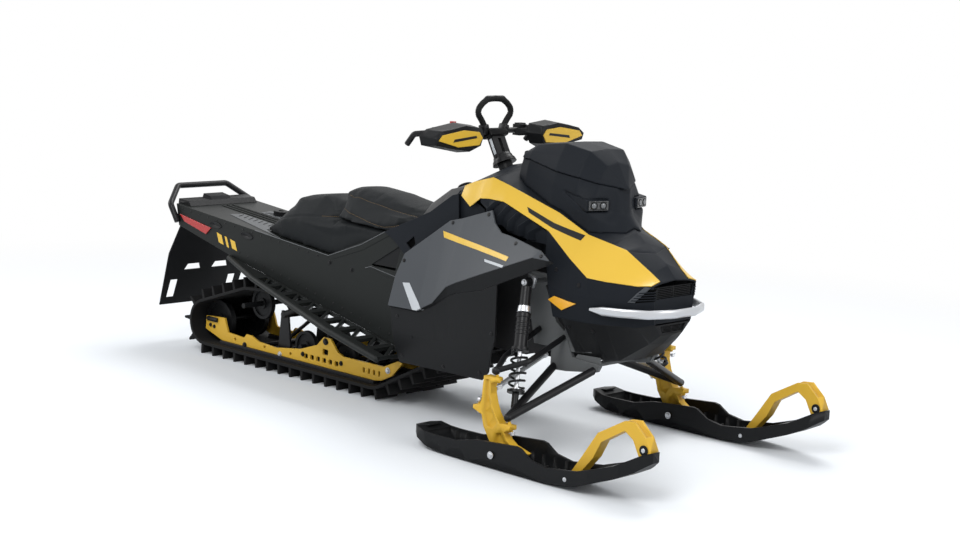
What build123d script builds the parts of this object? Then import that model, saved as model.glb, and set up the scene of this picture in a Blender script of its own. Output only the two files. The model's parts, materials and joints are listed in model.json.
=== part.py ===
from build123d import *
import math
import os

os.makedirs("parts", exist_ok=True)

# A mountain snowmobile.  +X points forward, +Y to its left, +Z up; all lengths in mm.
# The origin is on the ground below the middle of the machine.

# ---------------------------------------------------------------- shared clearances
SEAT_GAP = 0.3        # between a piece and the piece that carries it
SEAM = 0.4            # half of the joint between two body panels
SWING = 6.0           # between a moving piece and what stays still

# ---------------------------------------------------------------- overall
HALF_LENGTH = 1524.0
FLAP_LENGTH = 400.0

# ---------------------------------------------------------------- track and skid frame
TRACK_WIDTH = 381.0
BELT = 12.0
LUG_HEIGHT = 41.0
LUG_COUNT = 48
LUG_ROOT = 16.0
LUG_TIP = 9.0
LUG_CENTRE_HALF = 58.0        # half width of the middle lug of each row
LUG_OUTER_START = 74.0        # the outer lugs of a row begin this far from the middle
IDLER_RADIUS = 88.0
REAR_AXLE_X = -1217.0
DRIVE_X, DRIVE_Z = 208.0, 322.0
DRIVE_RADIUS = 92.0
UPPER_IDLER_X, UPPER_IDLER_Z = -930.0, 257.0
UPPER_IDLER_RADIUS = 67.0
BEND_X, BEND_RADIUS = -150.0, 120.0
SMALL_IDLER_RADIUS = 66.0
SMALL_IDLER_X = (-640.0, -395.0)
RAIL_Y = 135.0                # middle of each rail
RAIL_THICK = 9.0
SLIDE_HEIGHT, SLIDE_WIDTH = 12.0, 34.0
IDLER_Y = 92.0
SHAFT_RADIUS = 11.0

BELT_INSIDE_Z = LUG_HEIGHT + BELT
SLIDE_BOTTOM_Z = BELT_INSIDE_Z + SEAT_GAP
RAIL_BOTTOM_Z = SLIDE_BOTTOM_Z + SLIDE_HEIGHT
REAR_AXLE_Z = BELT_INSIDE_Z + IDLER_RADIUS

# ---------------------------------------------------------------- tunnel and deck
TUNNEL_HALF = 205.0
SHEET = 3.0
TUNNEL_REAR_X = -1406.0
TUNNEL_FRONT_X = 366.0
TUNNEL_REAR_TOP = 640.0
TUNNEL_LOW_TOP_X, TUNNEL_LOW_TOP_Z = -401.0, 543.0
ANCHOR_X, ANCHOR_Y = -1063.0, 100.0
ANCHOR_BORE, ANCHOR_HEIGHT = 12.0, 22.0

BOARD_START_X, BOARD_START_Z = -1017.0, 459.0
BOARD_END_X, BOARD_END_Z = 84.0, 228.0

TANK_TOP = ((-330.0, 555.0), (-40.0, 665.0), (72.0, 690.0))   # x and z

# ---------------------------------------------------------------- front suspension
SKI_Y = 487.0                 # middle of each ski
SKI_BOLT_X, SKI_BOLT_Z = 876.0, 50.0
LOWER_BALL = (872.0, -480.0, 168.0)
UPPER_BALL = (805.0, -478.0, 320.0)
BALL_RADIUS = 15.0
STUD_RADIUS = 6.0
ARM_TUBE = 14.0
TIE_ROD_OUTER = (735.0, -480.0, 206.0)
TIE_ROD_INNER = (716.0, -130.0, 322.0)
TIE_ROD_TUBE, TIE_ROD_EYE = 9.0, 9.5
SHOCK_TOP = (745.0, -275.0, 603.0)
SHOCK_BOTTOM = (842.0, -418.0, 196.0)
SPINDLE_THICK, SPINDLE_WEB = 34.0, 12.0
SPINDLE_POCKETS = (   # x and z
    ((777, 290), (793, 290), (793, 240), (803, 200), (818, 172), (838, 148), (816, 116), (788, 128), (772, 176), (777, 214)),
    ((834, 108), (858, 116), (876, 88), (898, 72), (934, 62), (920, 48), (900, 66), (856, 66), (836, 54), (826, 66)),
)
SKI_BOLT_RADIUS = 8.0

# ---------------------------------------------------------------- skis
SKI_REAR_X, SKI_TIP_X = 466.0, HALF_LENGTH
SKI_HALF = 72.0
SKI_TIP_Z = 168.0

# ---------------------------------------------------------------- steering
BAR_CENTRE = (291.0, 0.0, 1092.0)
POST_BASE = (350.0, 0.0, 985.0)
BAR_RADIUS = 11.0
POST_RADIUS = 22.0
GRIP_RADIUS = 16.0
BEARING_PLAY = 0.05

# ---------------------------------------------------------------- body
NOSE_X = 1185.0
HOOD_MIDDLE_X = 800.0
SKIN = 4.0
BAND_THICK = 3.0
# One row per cross-section.  Columns: x, then z on the centre line, then y and z of
# the crease above the colour band, of the shoulder below it, of the flank, of the sill
# and of the belly's edge, and last z of the keel.
def nose_x(x):
    """Where a place drawn for the usual nose lies when the nose is longer or shorter."""
    return HOOD_MIDDLE_X + (x - HOOD_MIDDLE_X) * (NOSE_X - HOOD_MIDDLE_X) / (1185 - HOOD_MIDDLE_X)


BODY = (
    # x, top z, crease y z, shoulder y z, flank y z, sill y z, belly y z, keel z
    (60, 798, 95, 790, 190, 700, 200, 640, 200, 560, 150, 520, 520),
    (200, 878, 120, 868, 205, 775, 212, 680, 212, 600, 150, 560, 560),
    (330, 945, 190, 892, 206, 868, 222, 700, 222, 620, 160, 560, 560),
    (400, 975, 200, 918, 220, 828, 230, 700, 230, 620, 160, 500, 500),
    (450, 985, 200, 932, 220, 864, 232, 700, 232, 620, 160, 460, 460),
    (493, 985, 200, 943, 220, 867, 234, 700, 234, 600, 160, 430, 430),
    (570, 972, 195, 921, 222, 864, 236, 680, 236, 580, 160, 400, 400),
    (800, 890, 180, 847, 232, 786, 242, 600, 234, 490, 150, 345, 335),
    (nose_x(914), 845, 150, 781, 245, 705, 250, 585, 238, 490, 140, 345, 335),
    (nose_x(1000), 797, 125, 757, 250, 650, 243, 580, 230, 490, 130, 348, 340),
    (nose_x(1053), 757, 108, 741, 215, 641, 215, 572, 205, 490, 120, 354, 345),
    (nose_x(1147), 697, 83, 672, 157, 633, 160, 570, 150, 490, 75, 425, 418),
    (nose_x(1185), 652, 78, 645, 120, 636, 112, 582, 102, 500, 60, 462, 458),
)
CONSOLE_REAR_X = 72.5
HOOD_REAR_X = 340.0
BAND_REAR_X = 342.0
BELLY_REAR_X = 880.0
SEAM_SIDE = ((nose_x(1050), -400.0), (nose_x(1050), -215.0), (nose_x(1053), -108.0))   # x and y
NOSE_SEAM = tuple((x, -y) for x, y in SEAM_SIDE) + ((nose_x(1095), 0.0),) + SEAM_SIDE[::-1]
GRILLE_MOUTH = ((106, 630), (98, 588), (-98, 588), (-106, 630))   # y and z
LOWER_MOUTH = ((72, 492), (58, 468), (-58, 468), (-72, 492))
COWL_REAR_LOW = (842.0, 470.0)
COWL_REAR_TOP = (790.0, 710.0)

SIDES = {"right": -1, "left": 1}


# ---------------------------------------------------------------- helpers
def save(piece, name):
    """Label a finished piece and write its file."""
    piece.part.label = name
    export_step(piece.part, f"parts/{name}.step")


def save_pair(right, stem):
    """Write a right-hand piece that moves, and its mirror image for the left."""
    save(right, f"{stem}_right")
    with BuildPart() as left:
        mirror(right.part, about=Plane.XZ)
    save(left, f"{stem}_left")


def save_both(right, name):
    """Write a right-hand piece and its mirror image as one node of two solids."""
    with BuildPart() as pair:
        add(right.part)
        mirror(right.part, about=Plane.XZ)
    save(pair, name)


def outline(points, mode=Mode.ADD):
    """Fill a closed outline of straight lines."""
    with BuildLine() as border:
        Polyline(*points, close=True)
    make_face(border.edges(), mode=mode)


def side_plate(points, y_low, y_high, mode=Mode.ADD):
    """A plate whose (x, z) outline runs from y_low to y_high."""
    with BuildSketch(Plane.XZ.offset(-y_high)) as face:
        outline(points)
    extrude(face.sketch, amount=y_high - y_low, mode=mode)


def plan_plate(points, z_low, z_high, mode=Mode.ADD):
    """A plate whose (x, y) outline runs from z_low to z_high."""
    with BuildSketch(Plane.XY.offset(z_low)) as face:
        outline(points)
    extrude(face.sketch, amount=z_high - z_low, mode=mode)


def rod(start, end, radius, mode=Mode.ADD):
    """A straight round bar between two points."""
    first, last = Vector(*start), Vector(*end)
    with BuildSketch(Plane(origin=first, z_dir=last - first)) as face:
        Circle(radius)
    extrude(face.sketch, amount=(last - first).length, mode=mode)


def cross_rod(x, z, radius, y_low, y_high, mode=Mode.ADD):
    """A round bar across the machine."""
    with BuildSketch(Plane.XZ.offset(-y_high)) as face:
        with Locations((x, z)):
            Circle(radius)
    extrude(face.sketch, amount=y_high - y_low, mode=mode)


def ball(centre, radius, mode=Mode.ADD):
    with Locations(centre):
        Sphere(radius, mode=mode)


def tube(points, radius, bend, mode=Mode.ADD):
    """A round tube whose corners are bent to one radius."""
    with BuildLine() as path:
        FilletPolyline(*points, radius=bend)
    with BuildSketch(Plane(origin=path.line @ 0, z_dir=path.line % 0)) as face:
        Circle(radius)
    sweep(face.sketch, path=path.line, mode=mode)


def ring_loft(sections, mode=Mode.ADD):
    """Join closed (y, z) rings that stand at stations along X."""
    faces = []
    for x, ring in sections:
        with BuildSketch(Plane.YZ.offset(x)) as face:
            outline(ring)
        faces.append(face.sketch.face())
    loft(faces, ruled=True, mode=mode)


def both_sides(half):
    """Close a half ring, listed from the top centre to the bottom centre."""
    return list(half) + [(-y, z) for y, z in reversed(half[1:-1])]


def between(start, end, share):
    """The point that lies a share of the way from start to end."""
    return tuple(a + (b - a) * share for a, b in zip(start, end))


def ribbon(path, half):
    """Closed outline that runs along an open path, half to each side of it."""
    sides = []
    for sign in (1, -1):
        row = []
        for index, (x, y) in enumerate(path):
            before = path[max(index - 1, 0)]
            after = path[min(index + 1, len(path) - 1)]
            here = (x, y)
            arms = [(a, b) for a, b in ((before, here), (here, after)) if a != b]
            turns = [math.atan2(b[1] - a[1], b[0] - a[0]) for a, b in arms]
            mean = sum(turns) / len(turns)
            reach = sign * half / math.cos((turns[-1] - turns[0]) / 2)
            row.append((x - math.sin(mean) * reach, y + math.cos(mean) * reach))
        sides.append(row)
    return sides[0] + sides[1][::-1]


# ---------------------------------------------------------------- track
def belt_face(extra):
    """The closed line of the belt's inside, grown by extra."""
    wheels = (
        (REAR_AXLE_X, REAR_AXLE_Z, IDLER_RADIUS),
        (BEND_X, BELT_INSIDE_Z + BEND_RADIUS, BEND_RADIUS),
        (DRIVE_X, DRIVE_Z, DRIVE_RADIUS),
        (UPPER_IDLER_X, UPPER_IDLER_Z, UPPER_IDLER_RADIUS),
    )
    with BuildSketch(Plane.XZ) as face:
        for x, z, radius in wheels:
            with Locations((x, z)):
                Circle(radius + extra)
        make_hull(mode=Mode.REPLACE)
    return face.sketch


def lug_row(outside, shift):
    """Side outlines of one lug per pitch, standing on the belt's outside."""
    for number in range(LUG_COUNT):
        share = ((number + shift) / LUG_COUNT) % 1.0
        foot = outside @ share
        along = outside % share
        out = Vector(along.Z, 0, -along.X)
        corners = []
        for half, rise in ((-LUG_ROOT, -2), (LUG_ROOT, -2), (LUG_TIP, LUG_HEIGHT), (-LUG_TIP, LUG_HEIGHT)):
            corner = foot + along * (half / 2) + out * rise
            corners.append((corner.X, corner.Z))
        outline(corners)


def make_track():
    half = TRACK_WIDTH / 2
    outside = belt_face(BELT).wire()
    with BuildPart() as track:
        extrude(belt_face(BELT), amount=half, both=True)
        extrude(belt_face(0), amount=half, both=True, mode=Mode.SUBTRACT)
        with BuildSketch(Plane.XZ):
            lug_row(outside, 0)
        extrude(amount=LUG_CENTRE_HALF, both=True)
        for start, end in ((LUG_OUTER_START, half - 4), (4 - half, -LUG_OUTER_START)):
            with BuildSketch(Plane.XZ.offset(-end)):
                lug_row(outside, 0.5)
            extrude(amount=end - start)
    save(track, "track")


# ---------------------------------------------------------------- skid frame
def make_rails():
    low = RAIL_BOTTOM_Z
    top = (
        (-1268, 100), (-1262, 158), (-1136, 166), (-1110, 106), (-1000, 100), (-984, 118),
        (-952, 118), (-903, 100), (-790, 93), (-628, 115), (-522, 150), (-484, 188),
        (-440, 188), (-395, 140), (-360, 128), (-120, 129), (-40, 165), (-14, 160),
    )
    bottom = ((-70, 100), (-130, 72), (-165, low), (-1150, low))
    with BuildPart() as rail:
        side_plate(top + bottom, -RAIL_Y - RAIL_THICK / 2, -RAIL_Y + RAIL_THICK / 2)
        with BuildSketch(Plane.XZ.offset(RAIL_Y + RAIL_THICK)):
            with Locations(*[(x, 92) for x in (-590, -552, -514, -476, -438, -400)]):
                RectangleRounded(22, 20, 5)
            with Locations(*[(x, 96) for x in (-235, -205, -175, -145)]):
                RectangleRounded(12, 22, 5)
            with Locations((-470, 128)):
                RectangleRounded(34, 24, 6)
            with Locations((-690, 84), (-860, 84), (-1060, 84)):
                Circle(7)
            with Locations((-462, 170)):
                Circle(9)
        extrude(amount=-2 * RAIL_THICK, mode=Mode.SUBTRACT)
    save_both(rail, "rails")
    with BuildPart() as slides:
        for side in SIDES.values():
            with Locations(((-1150 - 165) / 2, side * RAIL_Y, SLIDE_BOTTOM_Z + SLIDE_HEIGHT / 2)):
                Box(985, SLIDE_WIDTH, SLIDE_HEIGHT - SEAT_GAP)
    save(slides, "slide_strips")


def wheel(x, z, y_middle, radius, width, hub):
    """A pressed idler wheel: tread ring, thin disc and hub."""
    cross_rod(x, z, radius, y_middle - width / 2, y_middle + width / 2)
    for face_y in (y_middle + width / 2, y_middle - width / 2 + width * 0.35):
        with BuildSketch(Plane.XZ.offset(-face_y)) as ring:
            with Locations((x, z)):
                Circle(radius * 0.8)
                Circle(hub, mode=Mode.SUBTRACT)
        extrude(ring.sketch, amount=width * 0.35, mode=Mode.SUBTRACT)


def make_idlers():
    rail_inner = RAIL_Y - RAIL_THICK / 2 - SEAT_GAP
    with BuildPart() as rear:
        cross_rod(REAR_AXLE_X, REAR_AXLE_Z, SHAFT_RADIUS, -rail_inner, rail_inner)
        for side in SIDES.values():
            wheel(REAR_AXLE_X, REAR_AXLE_Z, side * IDLER_Y, IDLER_RADIUS - SEAT_GAP, 24, 28)
    save(rear, "rear_idlers")
    with BuildPart() as idlers:
        for x in SMALL_IDLER_X:
            z = BELT_INSIDE_Z + SMALL_IDLER_RADIUS
            cross_rod(x, z, SHAFT_RADIUS, -rail_inner, rail_inner)
            for side in SIDES.values():
                wheel(x, z, side * IDLER_Y, SMALL_IDLER_RADIUS - SEAT_GAP, 20, 22)
        reach = TUNNEL_HALF - SHEET - SEAT_GAP
        cross_rod(UPPER_IDLER_X, UPPER_IDLER_Z, SHAFT_RADIUS, -reach, reach)
        for side in SIDES.values():
            wheel(UPPER_IDLER_X, UPPER_IDLER_Z, side * IDLER_Y, UPPER_IDLER_RADIUS - SEAT_GAP, 20, 22)
    save(idlers, "idlers")


def make_drive_axle():
    reach = TUNNEL_HALF - SHEET - SEAT_GAP
    with BuildPart() as axle:
        cross_rod(DRIVE_X, DRIVE_Z, 14, -reach, reach)
        for side in SIDES.values():
            wheel(DRIVE_X, DRIVE_Z, side * 70, DRIVE_RADIUS - SEAT_GAP, 30, 30)
    save(axle, "drive_axle")


FRONT_ARM_TOP = (-30.0, 352.0)
FRONT_ARM_FOOT = (-262.0, 106.0)
REAR_ARM_TOP = (-575.0, 318.0)
REAR_ARM_KNEE = (-770.0, 235.0)
REAR_ARM_FOOT = (-760.0, 83.0)
REAR_SHOCK_FOOT = (-900.0, 82.0)


def make_skid_arms():
    inner = RAIL_Y - RAIL_THICK / 2 - SEAT_GAP
    reach = TUNNEL_HALF - SHEET - SEAT_GAP
    with BuildPart() as front:
        cross_rod(*FRONT_ARM_TOP, 12, -reach, reach)
        cross_rod(*FRONT_ARM_FOOT, 12, -inner, inner)
        for side in SIDES.values():
            y = side * 100
            rod((FRONT_ARM_TOP[0], y, FRONT_ARM_TOP[1]), (FRONT_ARM_FOOT[0], y, FRONT_ARM_FOOT[1]), 13)
    save(front, "skid_front_arm")
    with BuildPart() as rear:
        cross_rod(*REAR_ARM_TOP, 12, -reach, reach)
        cross_rod(*REAR_ARM_KNEE, 14, -118, 118)
        cross_rod(*REAR_ARM_FOOT, 10, -inner, inner)
        for side in SIDES.values():
            y = side * 104
            rod((REAR_ARM_TOP[0], y, REAR_ARM_TOP[1]), (REAR_ARM_KNEE[0], y, REAR_ARM_KNEE[1]), 15)
            points = ((-790, 250), (-750, 250), (-728, 96), (-738, 74), (-784, 74), (-806, 96))
            side_plate(points, y - 5, y + 5)
        cross_rod(*REAR_SHOCK_FOOT, 10, -inner, inner)
    save(rear, "skid_rear_arm")
    with BuildPart() as shocks:
        for top, foot in ((FRONT_ARM_TOP, FRONT_ARM_FOOT), (REAR_ARM_TOP, REAR_SHOCK_FOOT)):
            run = math.dist(top, foot)
            upper = between((top[0], 0, top[1]), (foot[0], 0, foot[1]), (12 + SEAT_GAP) / run)
            lower = between((foot[0], 0, foot[1]), (top[0], 0, top[1]), (12 + SEAT_GAP) / run)
            rod(upper, between(upper, lower, 0.45), 18)
            rod(between(upper, lower, 0.4), lower, 8)
    save(shocks, "skid_shocks")


# ---------------------------------------------------------------- tunnel
def deck_height(x):
    """Height of the tunnel's top behind the seat."""
    share = (x - TUNNEL_REAR_X) / (TUNNEL_LOW_TOP_X - TUNNEL_REAR_X)
    return TUNNEL_REAR_TOP + (TUNNEL_LOW_TOP_Z - TUNNEL_REAR_TOP) * share


def make_tunnel():
    top_line = (
        (TUNNEL_REAR_X, TUNNEL_REAR_TOP), (TUNNEL_LOW_TOP_X, TUNNEL_LOW_TOP_Z),
        (TUNNEL_FRONT_X, TUNNEL_LOW_TOP_Z - 20),
    )
    slope = (BOARD_END_Z - BOARD_START_Z) / (BOARD_END_X - BOARD_START_X)
    front_low = BOARD_END_Z + slope * 40
    bottom_line = ((BOARD_END_X + 40, front_low), (BOARD_START_X, BOARD_START_Z), (TUNNEL_REAR_X + 20, 547))
    channel = top_line + ((TUNNEL_FRONT_X, 430), (BOARD_END_X + 60, 240)) + bottom_line
    wing = (
        (TUNNEL_LOW_TOP_X - 60, TUNNEL_LOW_TOP_Z - 20), (TUNNEL_LOW_TOP_X, TUNNEL_LOW_TOP_Z),
        (-28, 685), (60, 692), (240, 692), (TUNNEL_FRONT_X, 560), (TUNNEL_FRONT_X, 480),
    )
    inner = TUNNEL_HALF - SHEET
    with BuildPart() as tunnel:
        side_plate(channel, -TUNNEL_HALF, TUNNEL_HALF)
        below = [(x, z - SHEET) for x, z in top_line]
        below[0] = (below[0][0] - 50, below[0][1] + 5)
        below[-1] = (below[-1][0] + 50, below[-1][1])
        side_plate(below + [(TUNNEL_FRONT_X + 50, 0), (TUNNEL_REAR_X - 50, 0)], -inner, inner, Mode.SUBTRACT)
        for side in SIDES.values():
            edges = sorted((side * inner, side * TUNNEL_HALF))
            side_plate(wing, *edges)
            window = ((-140, 540), (-10, 512), (30, 640))
            side_plate(window, edges[0] - 1, edges[1] + 1, Mode.SUBTRACT)
    save(tunnel, "tunnel")


def make_fuel_tank():
    inner = TUNNEL_HALF - SHEET - SEAT_GAP
    points = TANK_TOP + ((330, 640), (330, TUNNEL_LOW_TOP_Z + SEAT_GAP), (-330, TUNNEL_LOW_TOP_Z + SEAT_GAP))
    with BuildPart() as tank:
        side_plate(points, -inner, inner)
    save(tank, "fuel_tank")


def make_running_boards():
    slope = math.degrees(math.atan2(BOARD_START_Z - BOARD_END_Z, BOARD_END_X - BOARD_START_X))
    length = math.hypot(BOARD_START_Z - BOARD_END_Z, BOARD_END_X - BOARD_START_X)
    board_plane = Plane(origin=(BOARD_START_X, 0, BOARD_START_Z)).rotated((0, slope, 0))
    root = -TUNNEL_HALF - SEAT_GAP
    edge = ((0, root - 8), (250, -280), (815, -358), (length, -368))
    with BuildPart() as board:
        with BuildSketch(board_plane):
            outline(((0, root),) + edge + ((length, root),))
        extrude(amount=-14)
        with BuildSketch(board_plane.offset(1)):
            for number in range(9):
                x = 300 + number * 98
                depth = 50 + min(number, 6) * 9
                with Locations((x, root - 12 - depth / 2)):
                    Rectangle(70, depth)
                    Rectangle(12, depth * 1.6, rotation=35, mode=Mode.SUBTRACT)
        extrude(amount=-30, mode=Mode.SUBTRACT)
        for start, end in zip(edge, edge[1:]):
            first = board_plane.from_local_coords(Vector(*start, -7))
            last = board_plane.from_local_coords(Vector(*end, -7))
            rod(tuple(first), tuple(last), 12)
            ball(tuple(last), 12)
        with BuildSketch(Plane.XZ.offset(-root)):
            with Locations((0, 300)):
                Rectangle(4000, 2000)
        extrude(amount=-400, mode=Mode.SUBTRACT)
    save_both(board, "running_boards")


def make_rear_end():
    with BuildPart() as bar:
        reach = TUNNEL_HALF + 13 + SEAT_GAP
        corners = (
            (-1380, -reach, 565), (-1429, -reach - 2, 637), (-1495, -134, 706),
            (-1495, 134, 706), (-1429, reach + 2, 637), (-1380, reach, 565),
        )
        tube(corners, 13, 30)
    save(bar, "grab_bar")
    top_x = TUNNEL_REAR_X + 24
    lean = math.asin((HALF_LENGTH + top_x) / FLAP_LENGTH)
    flap_plane = Plane(origin=(top_x, 0, 548), x_dir=(0, 1, 0), z_dir=(math.cos(lean), 0, -math.sin(lean)))
    with BuildPart() as flap:
        with BuildSketch(flap_plane):
            top_half = TUNNEL_HALF - SHEET - SEAT_GAP
            half = ((top_half, 30), (top_half, -8), (225, -140), (205, -FLAP_LENGTH))
            outline(half + tuple((-y, z) for y, z in reversed(half)))
            for side in SIDES.values():
                with Locations((side * 75, -215)):
                    Trapezoid(90, 30, 65, mode=Mode.SUBTRACT)
            with Locations((-160, -320)):
                Rectangle(40, 90, mode=Mode.SUBTRACT)
            with Locations((160, -320)):
                Rectangle(40, 90, mode=Mode.SUBTRACT)
        extrude(amount=5)
    save(flap, "snow_flap")
    with BuildPart() as cap:
        points = ((-1424, 632), (-1420, 660), (-1350, 655), (-1330, deck_height(-1330) + SEAT_GAP),
                  (TUNNEL_REAR_X - SEAT_GAP, deck_height(TUNNEL_REAR_X) + SEAT_GAP), (TUNNEL_REAR_X - SEAT_GAP, 632))
        side_plate(points, -182, 182)
        side_plate(((-1424, 655), (-1416, 676), (-1366, 668), (-1352, 650)), -52, 52)
    save(cap, "tail_cap")
    with BuildPart() as lamps:
        for side in SIDES.values():
            edges = sorted((side * (TUNNEL_HALF + SEAT_GAP), side * (TUNNEL_HALF + 5)))
            side_plate(((-1376, 598), (-1154, 562), (-1189, 532), (-1340, 568)), *edges)
    save(lamps, "tail_lamps")
    with BuildPart() as anchors:
        fall = TUNNEL_REAR_TOP - TUNNEL_LOW_TOP_Z
        for x, side in ((ANCHOR_X, 1),):
            deck = Plane(
                origin=(x, side * ANCHOR_Y, deck_height(x) + SEAT_GAP),
                z_dir=(fall, 0, TUNNEL_LOW_TOP_X - TUNNEL_REAR_X),
            )
            with BuildSketch(deck):
                Circle(32)
                Circle(ANCHOR_BORE, mode=Mode.SUBTRACT)
            extrude(amount=ANCHOR_HEIGHT)
    save(anchors, "cargo_anchor")


# ---------------------------------------------------------------- seat
# Columns: x, bottom z, side half width, z where the side ends, top half width, top z.
SEAT_REAR = tuple(
    (x, deck_height(x) + SEAT_GAP, *rest)
    for x, *rest in (
        (-850, 150, 600, 100, 610),
        (-715, 188, 650, 90, 722),
        (-560, 190, 670, 80, 770),
        (-405, 190, 680, 75, 778),
    )
)
SEAT_DRIVER = (
    (-404.5, deck_height(-404.5) + SEAT_GAP, 186, 650, 90, 800),
    (TANK_TOP[0][0], TANK_TOP[0][1] + SEAT_GAP, 190, 680, 100, 818),
    (TANK_TOP[1][0], TANK_TOP[1][1] + SEAT_GAP, 178, 720, 90, 806),
    (TANK_TOP[2][0], TANK_TOP[2][1] + SEAT_GAP, 130, 730, 70, 788),
)


def cushion(rows):
    """A closed cushion, lofted through its cross-sections."""
    rings = []
    for x, low, side_half, side_z, top_half, top_z in rows:
        half = ((0, top_z), (top_half, top_z), (side_half, side_z), (side_half, low), (0, low))
        rings.append((x, both_sides(half)))
    ring_loft(rings)


def make_seat():
    with BuildPart() as rear:
        cushion(SEAT_REAR)
    save(rear, "seat_rear")
    with BuildPart() as driver:
        cushion(SEAT_DRIVER)
    save(driver, "seat_driver")


# ---------------------------------------------------------------- body skin
TOP, CREASE, SHOULDER, FLANK, SILL, BELLY, KEEL = range(7)


def body_points(x):
    """The seven (y, z) points of the body's left half at one station."""
    for low, high in zip(BODY, BODY[1:]):
        if low[0] <= x <= high[0]:
            share = (x - low[0]) / (high[0] - low[0])
            row = [a + (b - a) * share for a, b in zip(low, high)]
            return [(0, row[1])] + [(row[i], row[i + 1]) for i in (2, 4, 6, 8, 10)] + [(0, row[12])]
    raise ValueError(f"no body section at {x}")


def draw_in(points, amount):
    """Move a half section inwards by amount, with its corners kept sharp."""
    normals = []
    for (y0, z0), (y1, z1) in zip(points, points[1:]):
        run = math.hypot(y1 - y0, z1 - z0)
        normals.append(((z1 - z0) / run, (y0 - y1) / run))
    first, last = normals[0], normals[-1]
    before = [(-first[0], first[1])] + normals
    after = normals + [(-last[0], last[1])]
    moved = []
    for (y, z), (ay, az), (by, bz) in zip(points, before, after):
        scale = amount / (1 + ay * by + az * bz)
        moved.append((y + (ay + by) * scale, z + (az + bz) * scale))
    return moved


def stations(x_from, x_to):
    """Where the body's sections stand between two stations, both included."""
    return [x_from] + [row[0] for row in BODY if x_from < row[0] < x_to] + [x_to]


def trimmed(line, at_start, at_end):
    """Shorten a line at its ends, for the seams to its neighbours."""
    line = list(line)
    if at_start:
        run = math.dist(line[0], line[1])
        line[0] = between(line[0], line[1], SEAM / run)
    if at_end:
        run = math.dist(line[-1], line[-2])
        line[-1] = between(line[-1], line[-2], SEAM / run)
    return line


def skin_ring(x, first, last, out, deep):
    """Closed ring of a skin from point first to point last, out to deep below it."""
    points = body_points(x)
    crosses_top, crosses_keel = first == TOP, last == KEEL
    outer = trimmed(draw_in(points, out)[first:last + 1], not crosses_top, not crosses_keel)
    inner = trimmed(draw_in(points, deep)[first:last + 1], not crosses_top, not crosses_keel)
    if crosses_top:
        outer = [(-y, z) for y, z in reversed(outer[1:])] + outer
        inner = [(-y, z) for y, z in reversed(inner[1:])] + inner
    if crosses_keel:
        outer = outer + [(-y, z) for y, z in reversed(outer[:-1])]
        inner = inner + [(-y, z) for y, z in reversed(inner[:-1])]
    return outer + inner[::-1]


def skin(x_from, x_to, first, last, out=0.0, deep=SKIN):
    """One body panel, lofted along the machine."""
    ring_loft([(x, skin_ring(x, first, last, out, deep)) for x in stations(x_from, x_to)])


def side_reach(x, z):
    """Half width of the body's side at one height."""
    points = body_points(x)
    for (y0, z0), (y1, z1) in zip(points, points[1:]):
        if z1 <= z <= z0:
            return y0 + (y1 - y0) * (z0 - z) / (z0 - z1)
    raise ValueError(f"no body side at {x}, {z}")


def hood_height(x, y):
    """Height of the hood's top at one place between its two creases."""
    points = body_points(x)
    crease_y, crease_z = points[CREASE]
    return points[TOP][1] + (crease_z - points[TOP][1]) * abs(y) / crease_y


def post_hole():
    """Opening round the steering post."""
    low = Vector(*POST_BASE)
    axis = Vector(*BAR_CENTRE) - low
    rod(tuple(low - axis), tuple(low + axis), POST_RADIUS + SWING, Mode.SUBTRACT)


def make_body_panels():
    with BuildPart() as console:
        skin(CONSOLE_REAR_X, HOOD_REAR_X - SEAM, TOP, SHOULDER)
        post_hole()
    save(console, "console")
    beyond = NOSE_X + 100
    with BuildPart() as hood:
        skin(HOOD_REAR_X + SEAM, NOSE_X, TOP, SHOULDER)
        post_hole()
        plan_plate([(x + SEAM, y) for x, y in NOSE_SEAM] + [(beyond, -400), (beyond, 400)], 0, 1200, Mode.SUBTRACT)
    save(hood, "hood")
    with BuildPart() as nose:
        skin(NOSE_SEAM[0][0] - 10, NOSE_X, TOP, SHOULDER)
        plan_plate([(x + 3 * SEAM, y) for x, y in NOSE_SEAM] + [(beyond, -400), (beyond, 400)], 0, 1200, Mode.INTERSECT)
    save(nose, "nose_panel")
    with BuildPart() as cowl:
        skin(COWL_REAR_TOP[0], NOSE_X, SHOULDER, SILL)
        mirror(about=Plane.XZ)
        with BuildSketch(Plane.YZ.offset(NOSE_X - SKIN)) as front:
            half = draw_in(body_points(NOSE_X), SKIN + SEAM)[SHOULDER:SILL + 1]
            half[0] = (half[0][0], half[0][1] - SKIN)
            outline(half + [(-y, z) for y, z in reversed(half)])
            outline(GRILLE_MOUTH, Mode.SUBTRACT)
        extrude(front.sketch, amount=SKIN)
        side_plate(((0, 0), COWL_REAR_LOW, COWL_REAR_TOP, (0, 1200)), -400, 400, Mode.SUBTRACT)
    save(cowl, "nose_cowl")
    with BuildPart() as belly:
        skin(BELLY_REAR_X, NOSE_X, SILL, KEEL)
        with BuildSketch(Plane.YZ.offset(NOSE_X - SKIN)) as front:
            half = draw_in(body_points(NOSE_X), SKIN / 2)[SILL:-1]
            half[0] = (half[0][0], half[0][1] - SKIN)
            outline(half + [(-y, z) for y, z in reversed(half)])
            outline(LOWER_MOUTH, Mode.SUBTRACT)
        extrude(front.sketch, amount=SKIN)
    save(belly, "belly_pan")


def make_bands():
    """Colour panels that lie on the shoulder of the hood."""
    with BuildPart() as band:
        skin(BAND_REAR_X, NOSE_X - SKIN, CREASE, SHOULDER, -SEAT_GAP - BAND_THICK, -SEAT_GAP)
        mirror(about=Plane.XZ, mode=Mode.REPLACE)
    save_both(band, "hood_bands")


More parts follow.
